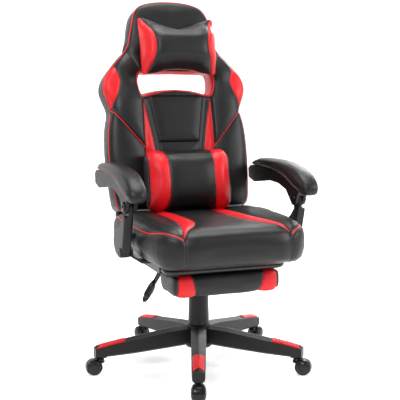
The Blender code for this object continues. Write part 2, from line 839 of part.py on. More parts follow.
# ---- Armrests ----
def arm_bracket():
    """An angle under the seat's edge that carries the armrest's lower pivot."""
    y, z = linkage_axis("lower_front")
    top = SEAT_BOTTOM - PLAY
    low = top - PLATE_THICK
    upright = [(y - 0.022, low + 0.022), (y + 0.030, low + 0.022), (y + 0.030, z - 0.004)]
    upright += arc((y, z), 0.018, 20, 180, 8)
    inner, outer = BAR_HALF + RAIL_HALF_WIDTH + 0.004, ARM_BRACKET_X[1]
    bend = outer - 0.032
    rise = 0.021
    edge = outer - PLAY
    foot = [(inner, top), (inner, low), (bend, low), (edge, low + rise), (edge, low + rise + 0.009)]
    foot += [(outer - PLATE_THICK, low + rise + 0.005), (bend - 0.002, top)]
    return join(prism(upright, *ARM_BRACKET_X), prism(foot, y - 0.021, y + 0.029, "Y"))


def linkage_axis(corner):
    """y, z of a pivot of the armrest's four-bar linkage."""
    front_y, front_z = ARM_FRONT_AXIS
    rear_y, rear_z = RECLINE_AXIS
    return {
        "upper_front": (front_y, front_z),
        "lower_front": (front_y - ARM_LINK[0], front_z - ARM_LINK[1]),
        "upper_rear": (rear_y + ARM_LINK[0], rear_z + ARM_LINK[1]),
    }[corner]


def arm_post():
    top_y, top_z = linkage_axis("upper_front")
    low_y, low_z = linkage_axis("lower_front")
    neck = arc((top_y, top_z), PIVOT_RADIUS, 0, 180, 10)
    front = [(top_y - PIVOT_RADIUS, top_z - 0.02), (low_y - 0.040, low_z + 0.055), (low_y - 0.030, low_z)]
    foot = [(low_y - 0.022, low_z - 0.012), (low_y + 0.010, low_z - 0.016), (low_y + 0.060, low_z - 0.008)]
    rear = [(low_y + 0.088, low_z + 0.014), (low_y + 0.078, low_z + 0.048), (low_y + 0.022, low_z + 0.075)]
    outline = neck + front + foot + rear + [(top_y + PIVOT_RADIUS, top_z - 0.030)]
    fold = front[2:] + foot + rear + [(low_y - 0.034, low_z + 0.050)]
    return join(prism(outline, *POST_X), prism(fold, POST_X[1] - 0.002, POST_FOLD_X))


def arm_frame():
    y, z = linkage_axis("upper_front")
    rear_y, rear_z = linkage_axis("upper_rear")
    under_pad = [(along, low - GAP) for along, low, _, _ in ARM_PAD_SECTIONS if -0.21 < along < 0.16]
    outline = [(rear_y + 0.010, rear_z - 0.028), (rear_y + 0.014, rear_z + 0.004), (rear_y - 0.006, rear_z + 0.016)]
    outline += under_pad + [(y - 0.026, z + 0.012)]
    outline += arc((y, z), PIVOT_RADIUS + 0.002, 180, 330, 8)
    outline += [(y + 0.055, z + 0.024), (y + 0.110, z + 0.039), (y + 0.180, z + 0.042)]
    outline += [(rear_y - 0.040, rear_z - 0.040)]
    slot_x = (POST_X[0] - PLAY, POST_X[1] + PLAY)
    reach = PIVOT_RADIUS + 0.0015
    slot = prism(
        [(y - 0.060, z - 0.060), (y + 0.060, z - 0.060), (y + 0.060, z), (y + reach, z)]
        + arc((y, z), reach, 0, 130, 8)[1:]
        + [(y - 0.060, z)],
        *slot_x,
    )
    return cut(prism(outline, *ARM_X), slot)


def arm_pad():
    """A padded top whose section is the same rounded shape all along, at each section's size."""
    section = [(0.55, -1), (0.95, -0.55), (1, 0.1), (0.85, 0.65), (0.45, 1)]
    section += [(-x, z) for x, z in reversed(section)]
    rings = []
    for along, low, high, half in ARM_PAD_SECTIONS:
        middle, tall = (low + high) / 2, (high - low) / 2
        inner = min(half, PAD_X - PAD_INNER_REAR) if along > 0.12 else half
        rings.append([(PAD_X + x * (half if x > 0 else inner), along, middle + z * tall) for x, z in section])
    return loft(rings)


# ---- Assembly ----
def main():
    for obj in list(bpy.data.objects):
        bpy.data.objects.remove(obj)

    leather = material("black_leather", (0.018, 0.018, 0.019), 0.42)
    red_leather = material("red_leather", (0.72, 0.012, 0.022), 0.40)
    plastic = material("black_plastic", (0.022, 0.022, 0.023), 0.45)
    red_plastic = material("red_plastic", (0.74, 0.020, 0.028), 0.35)
    black_steel = material("black_steel", (0.020, 0.020, 0.021), 0.38, 0.6)
    steel = material("bright_steel", (0.62, 0.62, 0.63), 0.25, 1.0)
    elastic = material("elastic", (0.015, 0.015, 0.015), 0.85)

    chair = Chair()
    base = chair.pivot("base", (0, 0, 0))
    chair.piece("star_base", star_base(), plastic, base)
    for i in range(LEGS):
        chair.piece(f"leg_pad_{i + 1}", moved(leg_pad(), leg_turn(i)), red_plastic, base)
    add_casters(chair, base, plastic, steel, plastic)

    upper_inner = TUBE_RADIUS + 0.0008
    middle_inner = upper_inner + COVER_STEP
    lower_inner = middle_inner + COVER_STEP
    chair.piece("gas_column", gas_column(), black_steel, base)
    chair.piece("cover_lower", cover(lower_inner, HUB_TOP + GAP, LOWER_COVER_TOP, LOWER_COVER_FLARE), plastic, base)
    cover_slide = chair.pivot("cover_slide", (0, 0, MIDDLE_COVER[0]), base)
    chair.piece("cover_middle", cover(middle_inner, *MIDDLE_COVER), plastic, cover_slide)

    swivel = chair.pivot("seat_swivel", (0, 0, TUBE_BOTTOM), base)
    chair.piece("piston_rod", piston_rod(), steel, swivel)
    lift = chair.pivot("seat_height", (0, 0, CYLINDER_BOTTOM), swivel)
    chair.piece("gas_cylinder", gas_cylinder(), black_steel, lift)
    chair.piece("cover_upper", cover(upper_inner, *UPPER_COVER), plastic, lift)
    chair.piece("mechanism_housing", mechanism_housing(), black_steel, lift)
    chair.piece("tension_spring", tension_spring(), steel, lift)
    knob_turn = chair.pivot("tension_turn", (0, KNOB_Y, KNOB_BOTTOM), lift)
    chair.piece("tension_knob", tension_knob(), plastic, knob_turn)

    lift_root = chair.pivot("lift_lever_hinge", (-HOUSING_HALF_X, LIFT_LEVER_Y, LIFT_LEVER_Z), lift)
    lift_bar = lever_path(LIFT_LEVER_Y, LIFT_LEVER_Z, LIFT_REACH, LIFT_DROP)
    chair.piece("lift_lever", tube(lift_bar, LEVER_RADIUS), black_steel, lift_root)
    lift_grip = grip(lift_bar[-1], lift_bar[-1] - lift_bar[-2], 0.048, 0.0160, 0.0055)
    chair.piece("lift_lever_grip", lift_grip, plastic, lift_root)
    tilt_root = chair.pivot("tilt_lever_slide", (-HOUSING_HALF_X, TILT_LEVER_Y, TILT_LEVER_Z), lift)
    tilt_bar = lever_path(TILT_LEVER_Y, TILT_LEVER_Z, TILT_REACH, TILT_DROP)
    chair.piece("tilt_lever", tube(tilt_bar, LEVER_RADIUS), black_steel, tilt_root)
    tilt_grip = grip(tilt_bar[-1], tilt_bar[-1] - tilt_bar[-2], 0.050, 0.0085, 0.0060)
    chair.piece("tilt_lever_grip", tilt_grip, plastic, tilt_root)

    seat = chair.pivot("seat_tilt", (0, *TILT_AXIS), lift)
    chair.piece("seat_plate", seat_plate(), black_steel, seat)
    chair.piece("seat_cushion", loft([seat_ring(*row) for row in SEAT_SECTIONS]), leather, seat)
    rail = footrest_rail()
    chair.piece("footrest_rail_right", rail, black_steel, seat)
    chair.piece("footrest_rail_left", mirrored(rail), black_steel, seat)
    bracket = recline_bracket()
    chair.piece("recline_bracket_right", bracket, black_steel, seat)
    chair.piece("recline_bracket_left", mirrored(bracket), black_steel, seat)
    bracket = arm_bracket()
    chair.piece("arm_bracket_right", bracket, black_steel, seat)
    chair.piece("arm_bracket_left", mirrored(bracket), black_steel, seat)

    slide = chair.pivot("footrest_slide", (0, BAR_Y, BAR_Z), seat)
    chair.piece("footrest_frame", footrest_frame(), black_steel, slide)
    flip = chair.pivot("footrest_flip", (0, BAR_Y, BAR_Z), slide)
    chair.piece("footrest_pad", footrest_pad(), leather, flip)

    back = chair.pivot("backrest_recline", (0, *RECLINE_AXIS), seat, BACK_LEAN)
    chair.piece("back_frame", back_frame_shape(0.0), black_steel, back, True)
    chair.piece("back_cushion", back_cushion(), leather, back, True)
    chair.piece("head_strap", head_strap(), elastic, back, True)
    head = pillow(HEAD_PILLOW_HALF, HEAD_PILLOW_Z, HEAD_PILLOW_DEPTH, 0.060)
    chair.piece("head_pillow", head, red_leather, back, True)
    lumbar = pillow(LUMBAR_HALF, LUMBAR_Z, LUMBAR_DEPTH, 0.045)
    chair.piece("lumbar_pillow", lumbar, red_leather, back, True)

    post, frame, pad = arm_post(), arm_frame(), arm_pad()
    for side, turn in (("right", lambda mesh: mesh), ("left", mirrored)):
        sign = 1 if side == "right" else -1
        post_pivot = chair.pivot(f"arm_post_{side}_hinge", (sign * POST_X[0], *linkage_axis("lower_front")), seat)
        chair.piece(f"arm_post_{side}", turn(post), black_steel, post_pivot)
        arm_pivot = chair.pivot(f"arm_{side}_hinge", (sign * POST_X[0], *linkage_axis("upper_front")), post_pivot)
        chair.piece(f"arm_frame_{side}", turn(frame), plastic, arm_pivot)
        chair.piece(f"arm_pad_{side}", turn(pad), leather, arm_pivot)


main()
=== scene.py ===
"""Looks of a reclining gaming chair: sewn upholstery, mouldings, steelwork, casters and a plain studio.

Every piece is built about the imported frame, in metres, +Z up, the chair facing -Y.
"""

import json
import math

import bmesh
import bpy
import numpy as np
from mathutils import Matrix, Vector
from mathutils.bvhtree import BVHTree


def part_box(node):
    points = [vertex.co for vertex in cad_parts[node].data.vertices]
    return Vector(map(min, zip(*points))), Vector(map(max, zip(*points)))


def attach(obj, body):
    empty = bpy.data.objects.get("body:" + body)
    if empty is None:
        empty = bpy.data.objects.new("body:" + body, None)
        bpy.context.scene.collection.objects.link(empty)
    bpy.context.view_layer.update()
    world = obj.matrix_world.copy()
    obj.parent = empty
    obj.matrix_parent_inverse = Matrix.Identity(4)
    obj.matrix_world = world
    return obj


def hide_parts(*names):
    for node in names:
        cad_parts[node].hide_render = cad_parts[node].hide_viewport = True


bl_info = {
    "name": "Gaming chair",
    "version": (1, 0),
    "blender": (4, 5, 0),
    "location": "3D View > Sidebar > Chair",
    "description": "Upholstery, mouldings and studio of a reclining gaming chair",
    "category": "Object",
}

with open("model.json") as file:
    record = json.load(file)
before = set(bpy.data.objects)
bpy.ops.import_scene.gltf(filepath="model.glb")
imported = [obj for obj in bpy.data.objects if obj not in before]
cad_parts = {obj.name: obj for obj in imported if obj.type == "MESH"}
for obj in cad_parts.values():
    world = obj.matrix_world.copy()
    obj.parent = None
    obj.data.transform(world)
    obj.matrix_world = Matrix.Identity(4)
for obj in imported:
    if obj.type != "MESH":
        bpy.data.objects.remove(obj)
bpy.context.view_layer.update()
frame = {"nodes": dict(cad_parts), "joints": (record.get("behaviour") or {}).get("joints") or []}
JOINTS = {joint["name"]: joint for joint in frame["joints"]}
LEGS = range(1, 6)
SIDES = (("left", -1), ("right", 1))

COLUMN = Vector((*JOINTS["seat_swivel"]["pos_m"][:2], 0.0))
RECLINE = Vector(JOINTS["backrest_recline"]["pos_m"])
UP_THE_BACK = Vector(JOINTS["lumbar_slide"]["axis"])
LEAN = math.atan2(UP_THE_BACK.y, UP_THE_BACK.z)
BACK_PLACE = Matrix.Translation(RECLINE) @ Matrix.Rotation(-LEAN, 4, "X")
CHAIR_PLACE = Matrix.Translation(COLUMN)

SEAT_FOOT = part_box("seat_cushion")[0].z
FOOT_LOW, FOOT_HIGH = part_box("footrest_pad")
WHEEL_LOW, WHEEL_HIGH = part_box("caster_1_wheel_left")
WHEEL_RADIUS = (WHEEL_HIGH.z - WHEEL_LOW.z) / 2
CASTER_OUT = (Vector(JOINTS["caster_1_swivel"]["pos_m"]) - COLUMN).to_2d().length
TRAIL = (Vector(JOINTS["caster_1_left_spin"]["pos_m"]) - COLUMN).to_2d().length - CASTER_OUT

# ---- Covers: the frames of a cloth run, and how far from a seam the filling and the groove reach ----
CLOTH_FRAMES = 20
PUFF_REACH, GROOVE_REACH = 0.020, 0.0042
WHITE = (1, 1, 1, 1)

# ---- The back, in its own upright frame: x, and the distance up from the recline axis ----
BACK_DEPTH = 0.085
BACK_OUTLINE = [(0.000, 0.002), (0.120, 0.002), (0.205, 0.003), (0.232, 0.012), (0.241, 0.045)]
BACK_OUTLINE += [(0.250, 0.135), (0.252, 0.220), (0.247, 0.290), (0.237, 0.345), (0.249, 0.386)]
BACK_OUTLINE += [(0.259, 0.424), (0.248, 0.463), (0.216, 0.502), (0.190, 0.531), (0.164, 0.564)]
BACK_OUTLINE += [(0.152, 0.606), (0.143, 0.650), (0.131, 0.688), (0.106, 0.714), (0.055, 0.727)]
BACK_OUTLINE += [(0.000, 0.730)]
BACK_GROWTH = 0.0035
BACK_LAYERS = [(-0.083, -0.012), (-0.081, -0.0055), (-0.074, -0.0015), (-0.060, 0.0)]
BACK_LAYERS += [(-0.016, 0.0), (-0.007, -0.002), (-0.002, -0.0085)]
WING_EDGE = [(0.236, 0.352), (0.214, 0.3245), (0.168, 0.270), (0.125, 0.220), (0.108, 0.198)]
LEAF = [(0.216, 0.499), (0.203, 0.464), (0.1995, 0.440), (0.209, 0.405), (0.230, 0.363)]
STRIPE_OUTER = [(0.120, 0.390), (0.1215, 0.300), (0.123, 0.195), (0.124, 0.050)]
STRIPE_INNER = [(0.120, 0.390), (0.104, 0.305), (0.093, 0.245), (0.088, 0.195), (0.086, 0.050)]
PANEL_SIDE = [(0.099, 0.398), (0.086, 0.310), (0.073, 0.235), (0.069, 0.205), (0.067, 0.050)]
PANEL_BAND = [(0.000, 0.236), (0.073, 0.235)]
HEAD_SEAM = [(0.166, 0.548), (0.145, 0.516), (0.127, 0.482)]
WINDOW_FRONT = [(0.000, 0.4175), (0.060, 0.412), (0.110, 0.399), (0.1235, 0.398), (0.133, 0.425)]
WINDOW_FRONT += [(0.135, 0.452), (0.129, 0.470), (0.110, 0.477), (0.000, 0.480)]
WINDOW_REAR = [(0.000, 0.436), (0.060, 0.432), (0.110, 0.422), (0.130, 0.421), (0.141, 0.432)]
WINDOW_REAR += [(0.145, 0.455), (0.143, 0.478), (0.128, 0.489), (0.000, 0.492)]

# ---- The pillows, on the back's plan ----
HEAD_HALF = [(0.000, 0.480), (0.050, 0.477), (0.100, 0.465), (0.124, 0.456), (0.131, 0.462)]
HEAD_HALF += [(0.129, 0.500), (0.126, 0.550), (0.130, 0.600), (0.137, 0.644), (0.139, 0.655), (0.129, 0.651)]
HEAD_HALF += [(0.100, 0.634), (0.050, 0.616), (0.000, 0.609)]
HEAD_RED = [(0.131, 0.655), (0.112, 0.627), (0.098, 0.590), (0.092, 0.550), (0.098, 0.505)]
HEAD_RED += [(0.112, 0.465), (0.122, 0.440)]
LUMBAR_RED_INNER = [(0.094, 0.205), (0.082, 0.185), (0.079, 0.140), (0.079, 0.060), (0.084, 0.010)]
LUMBAR_RED_INNER += [(0.092, -0.005)]
LUMBAR_RED_OUTER = [(0.150, 0.205), (0.143, 0.180), (0.141, 0.100), (0.144, 0.020), (0.154, -0.005)]

# ---- The seat, about the column: place, half width, lift of the foot, rise of the middle and bolster ----
SEAT_SECTIONS = [
    (-0.3535, 0.150, 0.034, -0.034, -0.036),
    (-0.3480, 0.178, 0.016, -0.013, -0.014),
    (-0.3320, 0.208, 0.006, 0.002, 0.004),
    (-0.2900, 0.238, 0.000, 0.010, 0.015),
    (-0.2000, 0.252, 0.000, 0.013, 0.021),
    (-0.0500, 0.258, 0.000, 0.011, 0.021),
    (0.0600, 0.258, 0.000, 0.008, 0.016),
    (0.1250, 0.256, 0.000, 0.007, 0.009),
    (0.1500, 0.250, 0.003, 0.002, 0.002),
    (0.1620, 0.236, 0.014, -0.016, -0.016),
]
SEAT_STRIPE_INNER = [(0.076, 0.140), (0.075, 0.000), (0.076, -0.120), (0.084, -0.190)]
SEAT_STRIPE_INNER += [(0.110, -0.255), (0.143, -0.302), (0.168, -0.338)]
SEAT_STRIPE_OUTER = [(0.124, 0.140), (0.127, 0.000), (0.131, -0.120)]
SEAT_STRIPE_OUTER += [(0.139, -0.190), (0.153, -0.265), (0.168, -0.338)]
SEAT_PIPING = [(0.236, 0.140), (0.244, 0.060), (0.246, -0.050), (0.243, -0.180)]
SEAT_PIPING += [(0.232, -0.262), (0.205, -0.312), (0.172, -0.336)]
SEAT_FRONT_SEAM = [(0.166, 0.38), (0.166, 0.52)]
SEAT_REAR_SEAM = [(0.0, 0.135), (0.2, 0.135)]
SEAT_LEVEL = 0.4905

# ---- Armrest pads, about the column: from rear to front, underside, top, half width ----
ARM_X = 0.278
ARM_INNER_REAR = 0.256
ARM_SECTIONS = [
    (0.170, 0.6440, 0.6480, 0.008),
    (0.162, 0.6436, 0.6565, 0.018),
    (0.140, 0.6445, 0.6640, 0.024),
    (0.100, 0.6455, 0.6730, 0.028),
    (0.040, 0.6450, 0.6760, 0.031),
    (-0.040, 0.6400, 0.6765, 0.033),
    (-0.111, 0.6245, 0.6720, 0.0345),
    (-0.161, 0.6025, 0.6650, 0.0345),
    (-0.200, 0.5880, 0.6530, 0.0335),
    (-0.230, 0.5800, 0.6370, 0.031),
    (-0.249, 0.5800, 0.6210, 0.025),
    (-0.258, 0.5870, 0.6090, 0.014),
    (-0.260, 0.5950, 0.6020, 0.005),
]
ARM_SEAM = [(0.150, 0.652), (0.126, 0.655), (0.007, 0.657), (-0.060, 0.653)]
ARM_SEAM += [(-0.111, 0.638), (-0.161, 0.616), (-0.198, 0.600), (-0.240, 0.592)]
POST_BLADE, POST_SWELL = (0.2722, 0.2858), (0.2706, 0.2990)

# ---- The base: the legs' ridge is (distance out, height, half width), and a profile is (radius, height) ----
LEG_RIDGE_LINE = [(0.225, 0.1130, 0.0225), (0.312, 0.0990, 0.0210), (0.350, 0.0910, 0.0190)]
LEG_RIDGE_DROP = 0.007
LEG_PAD = (0.252, 0.346)
WHEEL_PROFILE = [(0.0034, 0.0046), (0.0226, 0.0046), (0.0236, 0.0054), (0.0240, 0.0085), (0.0240, 0.0150)]
WHEEL_PROFILE += [(0.0236, 0.0172), (0.0225, 0.0186), (0.0208, 0.0190), (0.0203, 0.0184), (0.0194, 0.0184)]
WHEEL_PROFILE += [(0.0190, 0.0198), (0.0165, 0.0214), (0.0120, 0.0226), (0.0078, 0.0231), (0.0074, 0.0225)]
WHEEL_PROFILE += [(0.0068, 0.0225), (0.0064, 0.0233), (0.0, 0.0235), (0.0, 0.0195), (0.0034, 0.0195)]
NECK_PROFILE = [(0, 0.0795), (0.0045, 0.0795), (0.0054, 0.0785), (0.0054, 0.0512), (0.0100, 0.0508)]
NECK_PROFILE += [(0.0118, 0.0496), (0.0128, 0.0455), (0.0150, 0.0400), (0.0120, 0.0360), (0, 0.0360)]
HOOD_RADIUS, HOOD_HALF, HOOD_SHELL = 0.0270, 0.0181, 0.0014
# The lever grips: how far along, and the radius there.
GRIP_SHAPE = [(0, 0.0060), (0.12, 0.0082), (0.35, 0.0108), (0.80, 0.0098), (0.93, 0.0080), (1.0, 0.0048)]

# ---- The studio: each lamp's name, place, size and power, and the camera ----
LAMPS = (
    ("key_light", (-2.2, -2.6, 2.9), 1.2, 92),
    ("fill_light", (2.6, -1.8, 1.8), 1.2, 60),
    ("top_light", (0.2, 0.1, 3.4), 1.6, 80),
    ("rim_light", (2.0, 1.8, 2.2), 1.2, 45),
    ("left_rim_light", (-2.2, 1.4, 1.8), 1.0, 16),
)
AIM = Vector((0, 0, 0.6))
CAMERA_TURN, CAMERA_TIP = math.radians(-20.4), math.radians(7.24)
CAMERA_DISTANCE, CAMERA_HEIGHT = 2.8, 0.905


# ---- Sizes and colours that a user would change ----
A_COLOUR = {"subtype": "COLOR", "min": 0, "max": 1}


class ChairSizes(bpy.types.PropertyGroup):
    """Sizes of the upholstery and the finishes."""

    piping: bpy.props.FloatProperty(
        name="Piping", description="Radius of the piping cord", default=0.0022, min=0.001, unit="LENGTH"
    )
    groove: bpy.props.FloatProperty(
        name="Seam depth", description="How deep a seam pulls into the foam", default=0.0026, unit="LENGTH"
    )
    grain: bpy.props.FloatProperty(
        name="Leather grain", description="Width of one pebble of the grain", default=0.0014, unit="LENGTH"
    )
    stitch: bpy.props.FloatProperty(
        name="Stitch length", description="Length of one stitch with its gap", default=0.0065, unit="LENGTH"
    )


class ChairColours(bpy.types.PropertyGroup):
    """Colours of the covers and mouldings."""

    black: bpy.props.FloatVectorProperty(
        name="Black leather", description="Main cover", default=(0.0062, 0.0062, 0.0065), **A_COLOUR
    )
    red: bpy.props.FloatVectorProperty(
        name="Red leather", description="Panels and piping", default=(0.64, 0.0060, 0.0120), **A_COLOUR
    )
    plastic: bpy.props.FloatVectorProperty(
        name="Plastic", description="Base, arms and casters", default=(0.0055, 0.0055, 0.0057), **A_COLOUR
    )
    floor: bpy.props.FloatVectorProperty(
        name="Floor", description="Studio floor", default=(0.86, 0.86, 0.86), **A_COLOUR
    )


# ---- Shader writing ----
class Flow:
    """A node's output, on which Python's operators add Math nodes."""

    def __init__(self, graph, socket):
        self.graph = graph
        self.socket = socket

    def output(self, name):
        """Another output of the same node."""
        return Flow(self.graph, self.socket.node.outputs[name])

    def maths(self, operation, *others):
        values = dict(enumerate((self,) + others))
        return self.graph.add("ShaderNodeMath", {"operation": operation}, values)

    def reflected(self, operation, other):
        return self.graph.add("ShaderNodeMath", {"operation": operation}, {0: other, 1: self})

    def __add__(self, other):
        return self.maths("ADD", other)

    def __mul__(self, other):
        return self.maths("MULTIPLY", other)

    def __sub__(self, other):
        return self.maths("SUBTRACT", other)

    def __rsub__(self, other):
        return self.reflected("SUBTRACT", other)

    def __truediv__(self, other):
        return self.maths("DIVIDE", other)

    __radd__ = __add__
    __rmul__ = __mul__

    def step(self, low, high):
        """0 below low, 1 above high and a smooth climb between them."""
        values = {"Value": self, "From Min": low, "From Max": high}
        return self.graph.add("ShaderNodeMapRange", {"interpolation_type": "SMOOTHSTEP"}, values)


class Graph:
    """The node tree of one new material."""

    def __init__(self, name):
        self.material = bpy.data.materials.new(name)
        self.material.use_nodes = True
        self.tree = self.material.node_tree
        self.shader = self.tree.nodes["Principled BSDF"]

    def add(self, kind, settings=None, values=None):
        """The first output of a new node, whose settings are made before its sockets are filled."""
        node = self.tree.nodes.new(kind)
        for key, value in (settings or {}).items():
            setattr(node, key, value)
        self.fill(node, values or {})
        return Flow(self, node.outputs[0])

    def fill(self, node, values):
        for key, value in values.items():
            if isinstance(value, Flow):
                self.tree.links.new(value.socket, node.inputs[key])
            else:
                node.inputs[key].default_value = value

    def place(self):
        return self.add("ShaderNodeTexCoord").output("Object")

    def attribute(self, name):
        return self.add("ShaderNodeAttribute", {"attribute_name": name}).output("Fac")

    def noise(self, scale, detail=3.0, rough=0.5):
        values = {"Vector": self.place(), "Scale": scale, "Detail": detail, "Roughness": rough}
        return self.add("ShaderNodeTexNoise", {}, values)

    def pebbles(self, size):
        values = {"Vector": self.place(), "Scale": 1.0 / size}
        return self.add("ShaderNodeTexVoronoi", {"feature": "DISTANCE_TO_EDGE"}, values)

    def mix(self, share, one, other):
        """A colour between two colours."""
        values = {0: share, 6: one, 7: other}
        node = self.add("ShaderNodeMix", {"data_type": "RGBA"}, values)
        return Flow(self, node.socket.node.outputs[2])

    def bump(self, height, distance, strength=1.0, before=None):
        values = {"Height": height, "Distance": distance, "Strength": strength}
        if before:
            values["Normal"] = before
        return self.add("ShaderNodeBump", {}, values)

    def finish(self, **values):
        """Fills the shader's sockets, named with underscores for spaces."""
        self.fill(self.shader, {key.replace("_", " "): value for key, value in values.items()})
        return self.material


def rgba(colour, strength=1.0):
    return (*(channel * strength for channel in colour), 1.0)


def sizes_and_colours():
    return bpy.context.scene.chair_sizes, bpy.context.scene.chair_colours


def sewn_leather(name):
    """Black and red cover leather, from the distances to red panels and seams that the mesh holds, with
    painted shade in the seam grooves.
    """
    sizes, colours = sizes_and_colours()
    graph = Graph(name)
    red = graph.attribute("red").step(-0.0003, 0.0003)
    seam = graph.attribute("seam")
    along = graph.attribute("along")
    mottle = graph.noise(26.0)
    creases = graph.noise(75.0, 5.0, 0.62)
    pebbles = graph.pebbles(sizes.grain).maths("MULTIPLY", 6.0).maths("MINIMUM", 1.0)
    # Painted shade: the cover is darkened towards near-black along each seam groove, where shade falls; the
    # same mask also sinks the groove in the bump.
    groove_shade_mask = 1 - seam.step(0.0002, 0.0013)
    beside = seam - 0.0032
    row = 1 - beside.maths("ABSOLUTE").step(0.00035, 0.0006)
    dash = (along / sizes.stitch).maths("FRACT").maths("LESS_THAN", 0.72)
    thread = row * dash
    black = graph.mix(mottle, rgba(colours.black, 0.86), rgba(colours.black, 1.22))
    bright = graph.mix(mottle, rgba(colours.red, 0.90), rgba(colours.red, 1.06))
    cover = graph.mix(red, black, bright)
    # Painted shade in the seam grooves, mixed into the cover colour.
    shaded_cover = graph.mix(groove_shade_mask * 0.75, cover, (0.004, 0.003, 0.003, 1.0))
    threads = graph.mix(red, (0.085, 0.085, 0.088, 1.0), rgba(colours.red, 0.45))
    colour = graph.mix(thread, shaded_cover, threads)
    height = pebbles * 0.20 + creases * 0.55 + thread * 2.2 - groove_shade_mask * 2.6
    normal = graph.bump(height, 0.00035, 0.8)
    rough = mottle * 0.10 + 0.345 + (1 - pebbles) * 0.05 + thread * 0.2
    return graph.finish(Base_Color=colour, Roughness=rough, Normal=normal, Specular_IOR_Level=0.34)


def plain_leather(name, colour, rough):
    """One-colour leather for piping and bindings."""
    graph = Graph(name)
    mottle = graph.noise(60.0)
    pebbles = graph.pebbles(0.0011).maths("MULTIPLY", 6.0).maths("MINIMUM", 1.0)
    tone = graph.mix(mottle, rgba(colour, 0.88), rgba(colour, 1.08))
    normal = graph.bump(pebbles, 0.0001, 0.6)
    return graph.finish(Base_Color=tone, Roughness=mottle * 0.1 + rough, Normal=normal)


def moulded(name, colour, rough, texture=0.0006, depth=0.00006):
    """Moulded plastic with a spark-eroded texture, a little worn and dusty."""
    graph = Graph(name)
    mottle = graph.noise(14.0, 4.0)
    fine = graph.noise(1.0 / texture, 2.0)
    smears = graph.noise(38.0, 5.0, 0.65)
    tone = graph.mix(mottle, rgba(colour, 0.85), rgba(colour, 1.25))
    normal = graph.bump(fine, depth * 2, 0.7)
    rough = smears * 0.16 + (rough - 0.08)
    return graph.finish(Base_Color=tone, Roughness=rough, Normal=normal, Specular_IOR_Level=0.30)


def painted_steel(name, colour, rough):
    """Powder coat with orange peel, on steel."""
    graph = Graph(name)
    peel = graph.noise(520.0, 2.0)
    mottle = graph.noise(18.0, 4.0)
    tone = graph.mix(mottle, rgba(colour, 0.9), rgba(colour, 1.3))
    normal = graph.bump(peel, 0.00012, 0.6)
    return graph.finish(Base_Color=tone, Roughness=mottle * 0.12 + rough, Normal=normal, Metallic=0.35)


def bare_steel(name, rough):
    """Turned or drawn steel, faintly scored."""
    graph = Graph(name)
    scores = graph.noise(900.0, 3.0)
    mottle = graph.noise(40.0)
    tone = graph.mix(mottle, (0.50, 0.50, 0.51, 1.0), (0.66, 0.66, 0.67, 1.0))
    normal = graph.bump(scores, 0.00003, 0.6)
    return graph.finish(Base_Color=tone, Roughness=scores * 0.14 + rough, Normal=normal, Metallic=1.0)


def woven_elastic(name):
    """Black elastic webbing with ribs along it and fine cross threads."""
    graph = Graph(name)
    settings = {"wave_type": "BANDS", "bands_direction": "Z"}
    ribs = graph.add("ShaderNodeTexWave", settings, {"Vector": graph.place(), "Scale": 190.0}).output("Fac")
    threads = graph.noise(1400.0, 1.0)
    tone = graph.mix(ribs * 0.6 + threads * 0.4, (0.006, 0.006, 0.006, 1.0), (0.030, 0.030, 0.031, 1.0))
    normal = graph.bump(ribs + threads * 0.5, 0.0003, 0.9)
    return graph.finish(Base_Color=tone, Roughness=threads * 0.1 + 0.78, Normal=normal)


def studio_floor(name):
    """A floor that also glows a little, so that it stays white."""
    graph = Graph(name)
    mottle = graph.noise(3.0)
    colour = sizes_and_colours()[1].floor
    tone = graph.mix(mottle, rgba(colour, 0.99), rgba(colour, 1.01))
    glow = {"Emission_Color": WHITE, "Emission_Strength": 0.45}
    return graph.finish(Base_Color=tone, Roughness=mottle * 0.05 + 0.6, **glow)


# Each finish: what writes it, its colour or the name of one in the panel, and its further settings.
RECIPES = {
    "sewn_leather": (sewn_leather,),
    "black_plastic": (moulded, "plastic", 0.42),
    "glossy_plastic": (moulded, "plastic", 0.27, 0.0012, 0.00003),
    "red_plastic": (moulded, (0.66, 0.0080, 0.0140), 0.36),
    "wheel_plastic": (moulded, (0.013, 0.013, 0.0135), 0.24, 0.0014, 0.00002),
    "black_steel": (painted_steel, (0.016, 0.016, 0.017), 0.34),
    "gloss_steel": (painted_steel, (0.012, 0.012, 0.0125), 0.20),
    "bright_steel": (bare_steel, 0.22),
    "black_elastic": (woven_elastic,),
    "red_piping": (plain_leather, "red", 0.34),
    "red_thread": (plain_leather, (0.30, 0.010, 0.012), 0.55),
    "studio_floor": (studio_floor,),
}
FINISHES = {}


def finish(name):
    """Each finish is made once and shared."""
    if name not in FINISHES:
        maker, *settings = RECIPES[name]
        colours = sizes_and_colours()[1]
        settings = [getattr(colours, item) if isinstance(item, str) else item for item in settings]
        FINISHES[name] = maker(name, *settings)
    return FINISHES[name]


# ---- Curves in the plane, and how far points are from them ----
def curved(points, steps=8):
    """A smooth Catmull-Rom line through points of two or three numbers, ends kept."""
    p = np.array([points[0], *points, points[-1]], float)
    t = np.linspace(0, 1, steps, endpoint=False)[:, None]
    spans = []
    for a, b, c, d in zip(p, p[1:], p[2:], p[3:]):
        bend, twist = 2 * a - 5 * b + 4 * c - d, 3 * b - a - 3 * c + d
        spans.append(0.5 * (2 * b + (c - a) * t + bend * t**2 + twist * t**3))
    return np.vstack(spans + [p[-1:]])


def nearest(flat, line):
    """For each flat point, its distance to a line and the length of line up to there."""
    best = np.full(len(flat), 1e9)
    along = np.zeros(len(flat))
    start = 0.0
    for a, b in zip(line, line[1:]):
        reach = b - a
        size = float(np.hypot(*reach)) or 1e-9
        t = np.clip(((flat - a) @ reach) / size**2, 0, 1)
        away = np.hypot(*(flat - a - t[:, None] * reach).T)
        closer = away < best
        best[closer] = away[closer]
        along[closer] = start + t[closer] * size
        start += size
    return best, along


